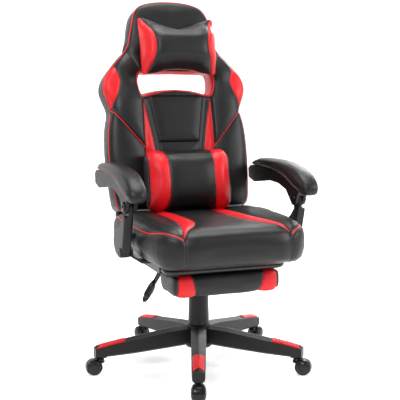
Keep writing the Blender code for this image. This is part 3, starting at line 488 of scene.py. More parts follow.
def inside(flat, outline):
    """Which flat points lie inside a closed outline."""
    x, y = flat[:, 0], flat[:, 1]
    found = np.zeros(len(flat), bool)
    for a, b in zip(outline, np.roll(outline, -1, axis=0)):
        crosses = (a[1] > y) != (b[1] > y)
        rise = (b[1] - a[1]) or 1e-12
        found ^= crosses & (x < (b[0] - a[0]) * (y - a[1]) / rise + a[0])
    return found


def depth_in(flat, outline):
    """Distance to a closed outline, above zero inside it."""
    away, _ = nearest(flat, closed_line(outline))
    return np.where(inside(flat, outline), away, -away)


def climb(value, low, high):
    """0 below low, 1 above high and a smooth climb between them."""
    t = np.clip((value - low) / (high - low), 0, 1)
    return t * t * (3 - 2 * t)


def closed_line(ring):
    """A ring with its first point repeated at its end."""
    return np.vstack([ring, ring[:1]])


def grown(outline, by):
    """A closed outline, given anticlockwise, moved outwards."""
    outline = np.asarray(outline, float)
    ahead = np.roll(outline, -1, 0) - np.roll(outline, 1, 0)
    ahead /= np.linalg.norm(ahead, axis=1, keepdims=True)
    return outline + by * np.column_stack([ahead[:, 1], -ahead[:, 0]])


def whole(half, steps=4):
    """Both halves of a symmetric outline, from its right half given upwards."""
    right = curved(half, steps)
    return np.vstack([right, right[-2:0:-1] * (-1, 1)])


def arcs(corners, steps):
    """Points of several arcs, each given as its centre, radius, start and end in degrees."""
    points = []
    for centre, radius, start, end in corners:
        for i in range(steps + 1):
            turn = math.radians(start + (end - start) * i / steps)
            points.append((centre[0] + radius * math.cos(turn), centre[1] + radius * math.sin(turn)))
    return np.array(points)


def rounded(left, right, low, high, radius, steps):
    """A rectangle's outline with round corners, anticlockwise from its foot."""
    west, east, south, north = left + radius, right - radius, low + radius, high - radius
    centres = ((east, south), (east, north), (west, north), (west, south))
    return arcs([(centre, radius, 90 * k - 90, 90 * k) for k, centre in enumerate(centres)], steps)


def drawn_in(profile, stations):
    """Rings of a profile in y and z at stations along x, each with the share of its size that it keeps."""
    middle = profile.mean(axis=0)
    return [[(x, *(middle + (point - middle) * share)) for point in profile] for x, share in stations]


# ---- Meshes ----
def new_object(name, mesh):
    made = bpy.data.objects.new(name, mesh)
    bpy.context.scene.collection.objects.link(made)
    return made


def mesh_of(bm):
    bmesh.ops.recalc_face_normals(bm, faces=bm.faces)
    mesh = bpy.data.meshes.new("shape")
    bm.to_mesh(mesh)
    bm.free()
    return mesh


def skin(rings, closed=True, capped=True):
    """Faces between rings of equally many points."""
    bm = bmesh.new()
    rows = [[bm.verts.new(point) for point in ring] for ring in rings]
    count = len(rows[0])
    for row, after in zip(rows, rows[1:]):
        for i in range(count if closed else count - 1):
            j = (i + 1) % count
            bm.faces.new((row[i], row[j], after[j], after[i]))
    if capped:
        bm.faces.new(rows[0])
        bm.faces.new(rows[-1])
    return mesh_of(bm)


def sheet(rows):
    """An open surface through rows of equally many points."""
    return skin(rows, closed=False, capped=False)


def shelled(piece, outward, thickness):
    """An open surface given a thickness, behind the side that its first face turns outward."""
    if piece.data.polygons[0].normal.dot(outward) < 0:
        piece.data.flip_normals()
    modified(piece, "SOLIDIFY", thickness=thickness, offset=-1.0)
    return applied(piece)


def joined(piece, *meshes):
    """Further closed meshes made part of the piece's own."""
    bm = bmesh.new()
    for mesh in (piece.data, *meshes):
        bm.from_mesh(mesh)
    bm.to_mesh(piece.data)
    bm.free()
    return piece


def turned(profile, sides=48):
    """A closed profile of (radius, height) turned about Z."""
    bm = bmesh.new()
    turns = [2 * math.pi * i / sides for i in range(sides)]
    rows = []
    for radius, height in profile:
        if radius:
            ring = [(radius * math.cos(t), radius * math.sin(t), height) for t in turns]
            rows.append([bm.verts.new(point) for point in ring])
        else:
            rows.append([bm.verts.new((0, 0, height))] * sides)
    for row, after in zip(rows, rows[1:] + rows[:1]):
        for i in range(sides):
            j = (i + 1) % sides
            corners = list(dict.fromkeys((row[i], row[j], after[j], after[i])))
            if len(corners) > 2:
                bm.faces.new(corners)
    return mesh_of(bm)


def tube(path, radius, sides=10):
    """A round cord along a path, with rounded ends. The radius is one number, or one for each point."""
    path = [Vector(point) for point in path]
    radii = [radius] * len(path) if isinstance(radius, float) else list(radius)
    last = len(path) - 1
    tips = {0: [(0.55, 0.5), (1.0, 0.0)], last: [(1.0, 0.0), (0.55, -0.5)]}
    rings = []
    tangent = (path[1] - path[0]).normalized()
    side = tangent.orthogonal().normalized()
    for i, point in enumerate(path):
        ahead = path[min(i + 1, last)] - path[max(i - 1, 0)]
        if ahead.length > 1e-9:
            tangent = ahead.normalized()
        side = (side - tangent * side.dot(tangent)).normalized()
        over = tangent.cross(side)
        for share, back in tips.get(i, [(1.0, 0.0)]):
            ring = []
            for k in range(sides):
                t = 2 * math.pi * k / sides
                out = side * math.cos(t) + over * math.sin(t)
                ring.append(point + out * (radii[i] * share) - tangent * (radii[i] * back))
            rings.append(ring)
    return skin(rings)


def applied(piece):
    """The piece with its modifiers made part of its mesh."""
    bpy.context.view_layer.update()
    graph = bpy.context.evaluated_depsgraph_get()
    mesh = bpy.data.meshes.new_from_object(piece.evaluated_get(graph))
    piece.modifiers.clear()
    piece.data = mesh
    return piece


def modified(piece, kind, **settings):
    """The piece with one more modifier."""
    modifier = piece.modifiers.new(kind.lower(), kind)
    for key, value in settings.items():
        setattr(modifier, key, value)
    return piece


def cut_out(piece, cutter):
    """The piece less the cutter, which is used up."""
    modified(piece, "BOOLEAN", operation="DIFFERENCE", object=cutter)
    applied(piece)
    bpy.data.objects.remove(cutter)
    return piece


def remeshed(piece, voxel, rounds):
    """An even mesh whose edges are rounded by relaxing it."""
    modified(piece, "REMESH", mode="VOXEL", voxel_size=voxel)
    modified(piece, "SMOOTH", factor=0.5, iterations=rounds)
    return applied(piece)


def points_of(piece):
    points = np.empty(len(piece.data.vertices) * 3)
    piece.data.vertices.foreach_get("co", points)
    return points.reshape(-1, 3)


def normals_of(piece):
    normals = np.empty(len(piece.data.vertices) * 3)
    piece.data.vertices.foreach_get("normal", normals)
    return normals.reshape(-1, 3)


def put_points(piece, points):
    piece.data.vertices.foreach_set("co", np.asarray(points, float).ravel())
    piece.data.update()


def inflated(piece, pressure, cap):
    """The cover blown up by its filling: a cloth run whose points may each move as far as the cap."""
    if not cap:
        return piece
    before = points_of(piece)
    modifier = piece.modifiers.new("filling", "CLOTH")
    modifier.settings.use_pressure = True
    modifier.settings.uniform_pressure_force = pressure
    modifier.settings.effector_weights.gravity = 0.0
    modifier.settings.tension_stiffness = 12.0
    modifier.settings.bending_stiffness = 0.6
    scene = bpy.context.scene
    for step in range(1, CLOTH_FRAMES + 1):
        scene.frame_set(step)
    graph = bpy.context.evaluated_depsgraph_get()
    blown = points_of(piece.evaluated_get(graph))
    scene.frame_set(1)
    piece.modifiers.clear()
    moves = evened(piece, blown - before, 30)
    sizes = np.linalg.norm(moves, axis=1, keepdims=True)
    put_points(piece, before + moves * np.minimum(1.0, cap / np.maximum(sizes, 1e-9)))
    modified(piece, "SMOOTH", factor=0.5, iterations=3)
    return applied(piece)


def evened(piece, values, rounds):
    """Values on the points, each averaged with its neighbours a number of times."""
    edges = np.empty(len(piece.data.edges) * 2, np.int64)
    piece.data.edges.foreach_get("vertices", edges)
    ends = edges.reshape(-1, 2)
    first, second = np.concatenate([ends[:, 0], ends[:, 1]]), np.concatenate([ends[:, 1], ends[:, 0]])
    count = np.bincount(first, minlength=len(values))[:, None]
    for _ in range(rounds):
        sums = np.column_stack([np.bincount(first, values[second, k], len(values)) for k in range(3)])
        values = values * 0.4 + sums / count * 0.6
    return values


def sewn(piece, plans, puff):
    """Pulls the seams in, fills the panels between them, and writes what the leather needs to know.

    A plan is where each point lies on a flat drawing, the seams and the closed outlines of the red panels
    there, and how far each point faces the side that the drawing is for.
    """
    count = len(piece.data.vertices)
    nearest_seam, along, red = np.full(count, 1.0), np.zeros(count), np.full(count, -1.0)
    lift = np.zeros(count)
    groove = bpy.context.scene.chair_sizes.groove
    for flat, seams, reds, shown in plans:
        away, run = np.full(count, 1.0), np.zeros(count)
        for line in seams:
            found, place = nearest(flat, line)
            closer = found < away
            away[closer], run[closer] = found[closer], place[closer]
        filling = puff * (1 - np.exp(-((away / PUFF_REACH) ** 2)))
        lift += shown * (filling - groove * np.exp(-((away / GROOVE_REACH) ** 2)))
        closer = (shown > 0.35) & (away < nearest_seam)
        nearest_seam[closer], along[closer] = away[closer], run[closer]
        for outline in reds:
            red = np.where(shown > 0.2, np.maximum(red, depth_in(flat, outline)), red)
    put_points(piece, points_of(piece) + normals_of(piece) * lift[:, None])
    write_fields(piece, red, nearest_seam, along)
    return piece


def write_fields(piece, red, seam, along):
    """Attributes that the leather reads: depth in a red panel, distance to a seam and length along it."""
    for name, values in (("red", red), ("seam", seam), ("along", along)):
        attribute = piece.data.attributes.new(name, "FLOAT", "POINT")
        attribute.data.foreach_set("value", np.asarray(values, np.float32))


def placed(piece, matrix):
    """The mesh moved for good: a piece keeps its object at the origin."""
    piece.data.transform(matrix)
    piece.data.update()
    return piece


def dressed(piece, look, body, slot, *nodes, sharp=40):
    """Smooth shading, one finish, and the body that the piece rides on."""
    piece.data.materials.clear()
    piece.data.materials.append(finish(look))
    piece.data.shade_smooth()
    piece.data.set_sharp_from_angle(angle=math.radians(sharp))
    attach(piece, body)
    if nodes:
        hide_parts(*nodes)
    return piece


def surface_of(piece, place=Matrix()):
    """The surface of a piece, in the frame that it was made in if that was placed since."""
    back = place.inverted()
    points = [back @ vertex.co for vertex in piece.data.vertices]
    return BVHTree.FromPolygons(points, [face.vertices for face in piece.data.polygons])


def laid_on(surface, starts, way, proud=0.0):
    """Points where rays from the starts meet a surface, lifted off it a little and evened out."""
    found = []
    for start in starts:
        place, normal, _, _ = surface.ray_cast(Vector(start), Vector(way))
        if place is not None:
            found.append(place + normal * proud)
    path = np.array(found)
    for _ in range(2):
        path[1:-1] = (path[:-2] + 2 * path[1:-1] + path[2:]) / 4
    return path


def covered(piece, pressure, cap, voxel, rounds):
    """A closed cover: evenly meshed, blown up by its filling, and then meshed finer."""
    remeshed(piece, voxel, rounds)
    inflated(piece, pressure, cap)
    modified(piece, "SUBSURF", levels=1, render_levels=1)
    return applied(piece)


def cover_mesh(name, mesh, pressure, cap, voxel=0.005, rounds=4):
    """A new object with that mesh as its cover."""
    return covered(new_object(name, mesh), pressure, cap, voxel, rounds)


def facing(piece, axis):
    """How squarely each point of the cover faces along an axis."""
    return np.clip(normals_of(piece) @ np.array(axis, float), 0, 1)


def folded(points):
    """Points of a symmetric cover on the right half of its plan."""
    return np.column_stack([np.abs(points[:, 0]), points[:, 2]])


# ---- Upholstery ----
def make_back():
    """The back's cover with its window, and the piping along its wings, sides and window."""
    outline = grown(whole(BACK_OUTLINE), BACK_GROWTH)
    mesh = skin([[(x, depth, z) for x, z in grown(outline, by)] for depth, by in BACK_LAYERS])
    front, rear = whole(WINDOW_FRONT), whole(WINDOW_REAR)
    tunnel = [[(x, -0.15, z) for x, z in front], [(x, -BACK_DEPTH, z) for x, z in front]]
    tunnel += [[(x, 0.0, z) for x, z in rear], [(x, 0.05, z) for x, z in rear]]
    piece = new_object("back_cover", mesh)
    cut_out(piece, new_object("window_cutter", skin(tunnel)))
    covered(piece, 3.0, 0.006, 0.005, 3)
    ahead = facing(piece, (0, -1, 0))
    raise_panels(piece, ahead)
    sew_back(piece, outline, front, ahead)
    surface = surface_of(piece)
    placed(piece, BACK_PLACE)
    dressed(piece, "sewn_leather", "backrest", "black_leather", "back_cushion")
    rim = grown(outline, -0.0075)
    shoulder = rim[(rim[:, 0] > 0) & (rim[:, 1] > 0.350)]
    half = [*curved(WING_EDGE)[:0:-1], *shoulder]
    cord("back_piping", surface, half + [(-x, z) for x, z in half[::-1]])
    lower = rim[(rim[:, 0] > 0.15) & (rim[:, 1] < 0.341) & (rim[:, 1] > 0.008)]
    for side, sign in SIDES:
        cord(f"back_side_piping_{side}", surface, [(sign * x, z) for x, z in lower])
    cord("window_piping", surface, closed_line(grown(front, 0.0050)), 0.7)


def raise_panels(piece, ahead):
    """Fills the wings and side bolsters, and sinks the middle panel with a raised waist above its band."""
    points = points_of(piece)
    x, z = folded(points).T
    edge = curved(WING_EDGE)
    away, _ = nearest(folded(points), edge)
    above = np.where(z > np.interp(x, edge[::-1, 0], edge[::-1, 1]), away, -away)
    stripe = curved(STRIPE_OUTER)
    sideways = x - np.interp(z, stripe[::-1, 1], stripe[::-1, 0])
    wing = 0.011 * climb(above, -0.0015, 0.003) * climb(sideways, -0.012, 0.012) * climb(0.56 - z, 0, 0.10)
    swell = np.sin(np.pi * np.clip(sideways / 0.13, 0, 1)) ** 0.8
    bolster = 0.010 * swell * (z < 0.45) * climb(0.45 - z, 0, 0.08)
    panel = curved(PANEL_SIDE)
    panel_x = np.interp(z, panel[::-1, 1], panel[::-1, 0])
    middle = 0.007 * climb(panel_x + 0.018 - x, -0.008, 0.020) * climb(0.405 - z, -0.004, 0.010)
    waist = 0.004 * climb(z, 0.236, 0.242) * climb(panel_x - x, -0.004, 0.006) * climb(0.40 - z, 0, 0.01)
    points[:, 1] -= ahead * (wing + bolster - middle + waist)
    put_points(piece, points)


def sew_back(piece, outline, window, ahead):
    """The back's seams and red panels. Its window is red all the way in."""
    points = points_of(piece)
    flat = folded(points)
    stripe, inner, leaf = curved(STRIPE_OUTER), curved(STRIPE_INNER), curved(LEAF)
    leaf_panel = np.vstack([leaf, [(0.232, 0.352), (0.30, 0.352), (0.30, 0.505)]])
    stripe_panel = np.vstack([stripe, inner[::-1]])
    window = grown(window, 0.0045)
    head_panel = curved([(0.000, 0.560), (0.060, 0.556), (0.120, 0.540)])
    seams = [curved(WING_EDGE), leaf, stripe, inner, curved(PANEL_SIDE), np.array(PANEL_BAND)]
    seams += [curved(HEAD_SEAM), head_panel, closed_line(window)]
    rear_seams = [closed_line(grown(outline, -0.030)), np.array([(0.12, 0.03), (0.12, 0.38)])]
    rear = facing(piece, (0, 1, 0))
    sewn(piece, [(flat, seams, [leaf_panel, stripe_panel], ahead), (flat, rear_seams, [], rear)], 0.003)
    field = piece.data.attributes["red"].data
    red = np.empty(len(points), np.float32)
    field.foreach_get("value", red)
    red = np.where(points[:, 1] < -0.012, np.maximum(red, depth_in(flat, window)), red)
    field.foreach_set("value", red.astype(np.float32))


def cord(name, surface, plan, share=1.0):
    """Red piping laid on the front of the back, along a line on its plan."""
    radius = bpy.context.scene.chair_sizes.piping * share
    path = laid_on(surface, [(x, -0.3, z) for x, z in plan], (0, 1, 0), radius * 0.35)
    piece = placed(new_object(name, tube(path, radius)), BACK_PLACE)
    dressed(piece, "red_piping", "backrest", "red_leather")


def plump(outline, rear, depth, crown, steps=7):
    """Rings of a plump pillow standing on a flat back, its outline drawn in towards both faces."""
    middle = outline.mean(axis=0)
    rings = []
    for i in range(steps + 1):
        turn = math.pi * i / steps
        depth_here = rear - depth * (1 - math.cos(turn)) / 2
        size = 1 - crown * abs(math.cos(turn)) ** 3
        rings.append([(x, depth_here, z) for x, z in middle + (outline - middle) * size])
    return rings


def make_head_pillow():
    """The head pillow, flat where it rests on the back."""
    outline = whole(HEAD_HALF, 3)
    rear = -BACK_DEPTH - 0.006
    piece = cover_mesh("head_pillow_cover", skin(plump(outline, rear, 0.100, 0.12)), 4.0, 0.009)
    points = points_of(piece)
    flat = folded(points)
    # The front rounds off towards the top and foot, and the ears stay thin where the faces are sewn together.
    ear = climb(flat[:, 0] + 1.6 * np.abs(flat[:, 1] - 0.551), 0.17, 0.29)
    barrel = np.clip(np.abs(flat[:, 1] - 0.546) / 0.082, 0, 1) ** 2.4
    centre = rear - 0.040
    points[:, 1] = centre + (points[:, 1] - centre) * (1 - 0.60 * ear) * (1 - 0.55 * barrel)
    points[:, 1] = np.minimum(points[:, 1], -BACK_DEPTH - 0.0065)
    put_points(piece, points)
    seam = curved(HEAD_RED)
    red = np.vstack([seam, [(0.20, 0.44), (0.20, 0.655)]])
    sewn(piece, [(flat, [seam], [red], np.ones(len(points)))], 0.003)
    placed(piece, BACK_PLACE)
    dressed(piece, "sewn_leather", "backrest", "black_leather", "head_pillow")


def make_head_strap():
    """The elastic band that holds the head pillow, drawn tight round the head section."""
    surface = surface_of(bpy.data.objects["back_cover"], BACK_PLACE)
    rings = []
    for proud, height in ((-0.0004, 0.5620), (0.0012, 0.5626), (0.0012, 0.5854), (-0.0004, 0.5860)):
        ring = []
        for turn in np.linspace(0, 2 * math.pi, 96, endpoint=False):
            way = Vector((math.cos(turn) * 0.165, math.sin(turn) * 0.050, 0)).normalized()
            centre = Vector((0, -0.5 * BACK_DEPTH, height))
            place, _, _, _ = surface.ray_cast(centre + way * 0.4, -way)
            ring.append(place + way * proud)
        rings.append(np.array(ring))
    rings = [(np.roll(ring, 1, 0) + 2 * ring + np.roll(ring, -1, 0)) / 4 for ring in rings]
    piece = placed(new_object("head_band", skin(rings, capped=False)), BACK_PLACE)
    modified(piece, "SOLIDIFY", thickness=0.0006)
    applied(piece)
    dressed(piece, "black_elastic", "backrest", "elastic", "head_strap")


def make_lumbar():
    """The lumbar pillow: flat where it rests, rounding off towards its top, foot and ends."""
    outline = rounded(-0.152, 0.152, -0.005, 0.196, 0.026, 8)
    rear = -BACK_DEPTH - 0.013
    piece = cover_mesh("lumbar_cover", skin(plump(outline, rear, 0.092, 0.10)), 4.0, 0.007)
    points = points_of(piece)
    flat = folded(points)
    barrel = np.clip(np.abs(flat[:, 1] - 0.099) / 0.102, 0, 1) ** 2.6
    ahead_of = np.minimum(points[:, 1] - (rear - 0.030), 0.0)
    points[:, 1] -= ahead_of * 0.50 * barrel
    points[:, 1] -= ahead_of * 0.25 * np.clip(flat[:, 0] / 0.15, 0, 1) ** 6
    points[:, 1] = np.minimum(points[:, 1], -BACK_DEPTH - 0.0145)
    put_points(piece, points)
    inner, outer = curved(LUMBAR_RED_INNER), curved(LUMBAR_RED_OUTER)
    red = np.vstack([inner, outer[::-1]])
    wraps = 1 - np.abs(normals_of(piece)[:, 0])
    sewn(piece, [(flat, [inner, outer], [red], np.clip(wraps * 3, 0, 1))], 0.0035)
    placed(piece, BACK_PLACE)
    dressed(piece, "sewn_leather", "lumbar", "black_leather", "lumbar_pillow")


def seat_ring(y, half, lift, middle_rise, bolster_rise):
    """The seat's section at one distance to the rear."""
    bottom = SEAT_FOOT + 0.0015 + lift
    middle, bolster = SEAT_LEVEL + middle_rise, SEAT_LEVEL + bolster_rise
    tall = bolster - bottom
    right = [(half * 0.50, bottom), (half - 0.026, bottom), (half - 0.008, bottom + 0.10 * tall)]
    right += [(half - 0.001, bottom + 0.32 * tall), (half - 0.001, bolster - 0.34 * tall)]
    right += [(half - 0.006, bolster - 0.13 * tall), (half - 0.019, bolster - 0.003), (half - 0.042, bolster)]
    right += [(half * 0.66, middle + 0.3 * (bolster - middle)), (half * 0.40, middle), (half * 0.15, middle)]
    return [(x, y, z) for x, z in right + [(-x, z) for x, z in right[::-1]]]


def make_seat():
    """The seat's cover with its stripes, and the piping on its side bolsters."""
    sections = curved(SEAT_SECTIONS, 3)
    piece = cover_mesh("seat_cover", skin([seat_ring(*section) for section in sections]), 3.0, 0.006)
    points = points_of(piece)
    normals = normals_of(piece)
    top = np.clip(normals[:, 2] * 1.5, 0, 1)
    ahead = np.clip(-normals[:, 1] * 1.5, 0, 1)
    plan = np.column_stack([np.abs(points[:, 0]), points[:, 1]])
    inner, outer, piping = curved(SEAT_STRIPE_INNER), curved(SEAT_STRIPE_OUTER), curved(SEAT_PIPING)
    red = np.vstack([inner, outer[::-1]])
    plans = [(plan, [inner, outer, piping, np.array(SEAT_REAR_SEAM)], [red], top)]
    plans.append((folded(points), [np.array(SEAT_FRONT_SEAM)], [], ahead))
    sewn(piece, plans, 0.0035)
    surface = surface_of(piece)
    placed(piece, CHAIR_PLACE)
    dressed(piece, "sewn_leather", "seat", "black_leather", "seat_cushion")
    radius = bpy.context.scene.chair_sizes.piping
    for name, sign in SIDES:
        path = laid_on(surface, [(sign * x, y, 0.7) for x, y in piping], (0, 0, -1), radius * 0.3)
        cord_piece = placed(new_object(f"seat_piping_{name}", tube(path, radius)), CHAIR_PLACE)
        dressed(cord_piece, "red_piping", "seat", "red_leather")


def make_foot_pad():
    """The footrest's padded board, about the column."""
    low, high = FOOT_LOW - COLUMN, FOOT_HIGH - COLUMN
    half = (high.x - low.x) / 2 - 0.002
    profile = foot_profile(low.y + 0.002, high.y - 0.002, low.z + 0.002, high.z - 0.002)
    ends = [(0.86, 1.0), (0.94, 0.96), (0.985, 0.86), (1, 0.70)]
    stations = [(-x * half, share) for x, share in ends[::-1]] + [(x * half, share) for x, share in ends]
    rings = drawn_in(profile, stations)
    piece = cover_mesh("foot_pad_cover", skin(rings), 3.0, 0.003, 0.0045, 3)
    points = points_of(piece)
    inner, outer = np.array([(0.100, 0.280), (0.120, 0.375)]), np.array([(0.163, 0.280), (0.159, 0.375)])
    red = np.vstack([inner, outer[::-1]])
    sewn(piece, [(folded(points), [inner, outer], [red], np.ones(len(points)))], 0.002)
    placed(piece, CHAIR_PLACE)
    dressed(piece, "sewn_leather", "footrest_cushion", "black_leather", "footrest_pad")


def foot_profile(front, rear, low, high):
    """The foot pad's side view, y and z, anticlockwise, lowered along its top to clear the rails."""
    top = high - 0.004
    foot_front = ((front + 0.022, low + 0.022), 0.022, 180, 270)
    foot_rear = ((rear - 0.045, low + 0.045), 0.045, 270, 360)
    top_rear = ((rear - 0.012, top - 0.012), 0.012, 0, 90)
    rail_step = ((front + 0.060, top + 0.004), 0.004, 270, 180)
    lip = ((front + 0.012, high - 0.012), 0.012, 90, 180)
    return arcs([foot_front, foot_rear, top_rear, rail_step, lip], 6)


def make_back_skirt():
    """The lining that closes the gap behind the seat, between and beside the recline brackets."""
    section = rounded(-0.034, -0.003, -0.021, 0.012, 0.009, 5)
    for name, low, high in (("middle", -0.143, 0.143), ("left", -0.224, -0.170), ("right", 0.170, 0.224)):
        rings = drawn_in(section, ((low, 0.80), (low + 0.004, 1.0), (high - 0.004, 1.0), (high, 0.80)))
        piece = cover_mesh(f"back_skirt_{name}", skin(rings), 2.0, 0.0, 0.004, 2)
        write_fields(piece, *np.array([[-1.0], [1.0], [0.0]]) * np.ones((3, len(piece.data.vertices))))
        placed(piece, BACK_PLACE)
        dressed(piece, "sewn_leather", "backrest", "black_leather")


# ---- Armrests ----
def arm_ring(sign, y, low, high, half):
    """A pad's section, squarer below than above, and narrower inside where it passes the back."""
    inner = min(half, ARM_X - ARM_INNER_REAR - 0.0015) if y > 0.115 else half
    tall, middle = (high - low) / 2, (high + low) / 2
    ring = []
    for i in range(20):
        turn = 2 * math.pi * i / 20
        c, s = math.cos(turn), math.sin(turn)
        power = 0.62 if s < 0 else 0.80
        across = math.copysign(abs(c) ** power, c)
        height = math.copysign(abs(s) ** power, s)
        reach = half if across > 0 else inner
        ring.append((sign * (ARM_X + reach * across), y, middle + tall * height))
    return ring


def make_arm_pads():
    """The padded tops of the armrests, with a thread along the outer seam."""
    line = curved(ARM_SEAM)
    for side, sign in SIDES:
        rings = [arm_ring(sign, *section) for section in curved(ARM_SECTIONS, 3)]
        piece = cover_mesh(f"arm_cover_{side}", skin(rings), 2.0, 0.0, 0.0035, 3)
        sideways = np.clip(np.abs(normals_of(piece)[:, 0]) * 2, 0, 1)
        sewn(piece, [(points_of(piece)[:, 1:], [line], [], sideways)], 0.0008)
        surface = surface_of(piece)
        placed(piece, CHAIR_PLACE)
        dressed(piece, "sewn_leather", f"arm_{side}", "black_leather", f"arm_pad_{side}")
        path = laid_on(surface, [(sign * 0.4, y, z) for y, z in line[2:-1]], (-sign, 0, 0))
        thread = placed(new_object(f"arm_thread_{side}", tube(path, 0.0009, 6)), CHAIR_PLACE)
        dressed(thread, "red_thread", f"arm_{side}", "red_leather")


def button(name, place, axis, radius, body, look, slot, socket):
    """A round boss or bolt head with a rounded edge and a socket, standing on its place along an axis."""
    high = radius * 0.34
    profile = [(0, 0), (radius, 0), (radius, high * 0.55), (radius * 0.93, high * 0.9), (radius * 0.80, high)]
    profile += [(socket, high), (socket * 0.94, high * 0.35), (0, high * 0.35)]
    piece = new_object(name, turned(profile, 32))
    turn = Vector((0, 0, 1)).rotation_difference(Vector(axis)).to_matrix().to_4x4()
    placed(piece, Matrix.Translation(Vector(place)) @ turn)
    dressed(piece, look, body, slot, sharp=30)


def prism(outline, low, high):
    """An outline in y and z, stretched along x."""
    return skin([[(low, y, z) for y, z in outline], [(high, y, z) for y, z in outline]])


def moved(outline, place):
    """An outline in y and z, moved to a place."""
    return [(place.y + y, place.z + z) for y, z in outline]


def make_arm_posts():
    """The moulded posts: a blade in the arm's fork, swelling into a broad foot."""
    for side, sign in SIDES:
        top = Vector(JOINTS[f"arm_{side}_hinge"]["pos_m"]) - COLUMN
        low = Vector(JOINTS[f"arm_post_{side}_hinge"]["pos_m"]) - COLUMN
        neck = [(0.0185 * math.cos(t), 0.0185 * math.sin(t)) for t in np.linspace(0, math.pi, 15)]
        shoulder = [(-0.010, -0.055)]
        shin = [(-0.034, 0.052), (-0.021, 0.010), (-0.010, -0.013), (0.020, -0.020), (0.058, -0.012)]
        shin += [(0.080, 0.008), (0.086, 0.034), (0.066, 0.058), (0.030, 0.070), (0.004, 0.088)]
        shin = moved(shin, low)
        swell_top = [(0.016, -0.040), (0.006, -0.027)]
        blade = moved(neck + [(-0.019, -0.024)] + shoulder, top) + shin + moved([(0.019, -0.034)], top)
        swell = moved([(-0.016, -0.030)] + shoulder, top) + shin + moved(swell_top, top)
        blade, swell = prism(blade, *POST_BLADE), prism(swell, *POST_SWELL)
        piece = joined(new_object(f"arm_post_moulding_{side}", blade), swell)
        remeshed(piece, 0.0022, 14)
        placed(piece, CHAIR_PLACE @ Matrix.Scale(sign, 4, (1, 0, 0)))
        if sign < 0:
            piece.data.flip_normals()
        dressed(piece, "black_plastic", f"arm_post_{side}", "black_plastic", f"arm_post_{side}")


def faces_of(node):
    """Where a node of one side starts and ends along x, from the chair's middle outwards."""
    low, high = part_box(node)
    return sorted((low.x, high.x), key=abs)


def make_arm_fittings():
    """Bosses and bolt heads at both hinges of each armrest."""
    gloss, matt = ("glossy_plastic", "black_plastic"), ("black_plastic", "black_plastic")
    steel = ("bright_steel", "bright_steel")
    for side, sign in SIDES:
        inner, outer = faces_of(f"arm_frame_{side}")
        post = faces_of(f"arm_post_{side}")[1]
        for name, x, way, radius, body, look, socket in (
            ("arm_boss", outer, sign, 0.0155, "arm", gloss, 0.007),
            ("arm_bolt", outer, sign, 0.0060, "arm", steel, 0.003),
            ("arm_boss_in", inner, -sign, 0.0145, "arm", gloss, 0.006),
            ("post_boss", post - sign * 0.0022, sign, 0.0150, "arm_post", matt, 0.0065),
            ("post_bolt", post - sign * 0.0008, sign, 0.0060, "arm_post", steel, 0.003),
        ):
            _, y, z = JOINTS[f"{body}_{side}_hinge"]["pos_m"]
            button(f"{name}_{side}", (x, y, z), (way, 0, 0), radius, f"{body}_{side}", *look, socket)


# ---- Steelwork ----
def make_levers():
    """Thick bullet-shaped grips, drawn along the ends of the lever bars."""
    for lever, body in (("lift_lever", "lift_handle"), ("tilt_lever", "tilt_handle")):
        low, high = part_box(f"{lever}_grip")
        middle = (low.y + high.y) / 2
        start, end = Vector((high.x - 0.002, middle, high.z)), Vector((low.x + 0.002, middle, low.z + 0.003))
        path = [start.lerp(end, share) for share in np.linspace(-0.14, 1.04, 16)]
        radii = np.interp(np.linspace(0, 1, 16), *np.array(GRIP_SHAPE).T)
        piece = new_object(f"{lever}_bullet_grip", tube(path, radii, 24))
        dressed(piece, "glossy_plastic", body, "black_plastic", f"{lever}_grip", sharp=60)


def leg_frame(i):
    """The matrix that turns +X, from the column's foot, to a leg's direction."""
    out = Vector(JOINTS[f"caster_{i}_swivel"]["pos_m"]) - COLUMN
    return CHAIR_PLACE @ Matrix.Rotation(math.atan2(out.y, out.x), 4, "Z")


def leg_pad_rows():
    """Points of a ribbed pad on a leg's ridge, notched at its outer end."""
    outs, heights, halves = np.array(LEG_RIDGE_LINE).T
    rows = []
    for u in np.linspace(0, 1, 75):
        row = []
        for v in np.linspace(-1, 1, 17):
            out = LEG_PAD[0] + u * (LEG_PAD[1] - LEG_PAD[0] - 0.012 * (1 - abs(v)) ** 0.8)
            half = np.interp(out, outs, halves)
            across = v * (half - 0.0032)
            ridge = np.interp(out, outs, heights) - LEG_RIDGE_DROP * abs(across) / half
            phase = ((out - LEG_PAD[0] - abs(across) * 0.35) / 0.0115) % 1.0 - 0.5
            rib = 0.0030 - 0.0011 * math.exp(-((phase / 0.10) ** 2))
            edge = min(1.0, (1 - abs(v)) / 0.12 + 0.25, u / 0.02 + 0.25, (1 - u) / 0.02 + 0.25)
            row.append((out, across, ridge + rib * edge))
        rows.append(row)
    return rows


def make_leg_pads():
    """Red pads near the ends of the legs."""
    rows = leg_pad_rows()
    for i in LEGS:
        piece = new_object(f"leg_pad_ribbed_{i}", sheet(rows))
        shelled(piece, Vector((0, 0, 1)), 0.0016)
        placed(piece, leg_frame(i))
        dressed(piece, "red_plastic", "base", "red_plastic", f"leg_pad_{i}", sharp=50)


def hood_rows():
    """Points of a caster's hood, a barrel about the axle that narrows towards its open ends."""
    rows = []
    for turn in np.radians(np.linspace(-40, 220, 40)):
        row = []
        low = min(1.0, math.degrees(turn + 0.7) / 30, math.degrees(3.84 - turn) / 30)
        for y in np.linspace(-HOOD_HALF, HOOD_HALF, 15):
            radius = HOOD_RADIUS - 0.0026 * abs(y / HOOD_HALF) ** 3.5
            across = y * (0.80 + 0.20 * max(low, 0.0))
            row.append((radius * math.cos(turn), across, radius * math.sin(turn)))
        rows.append(row)
    return rows


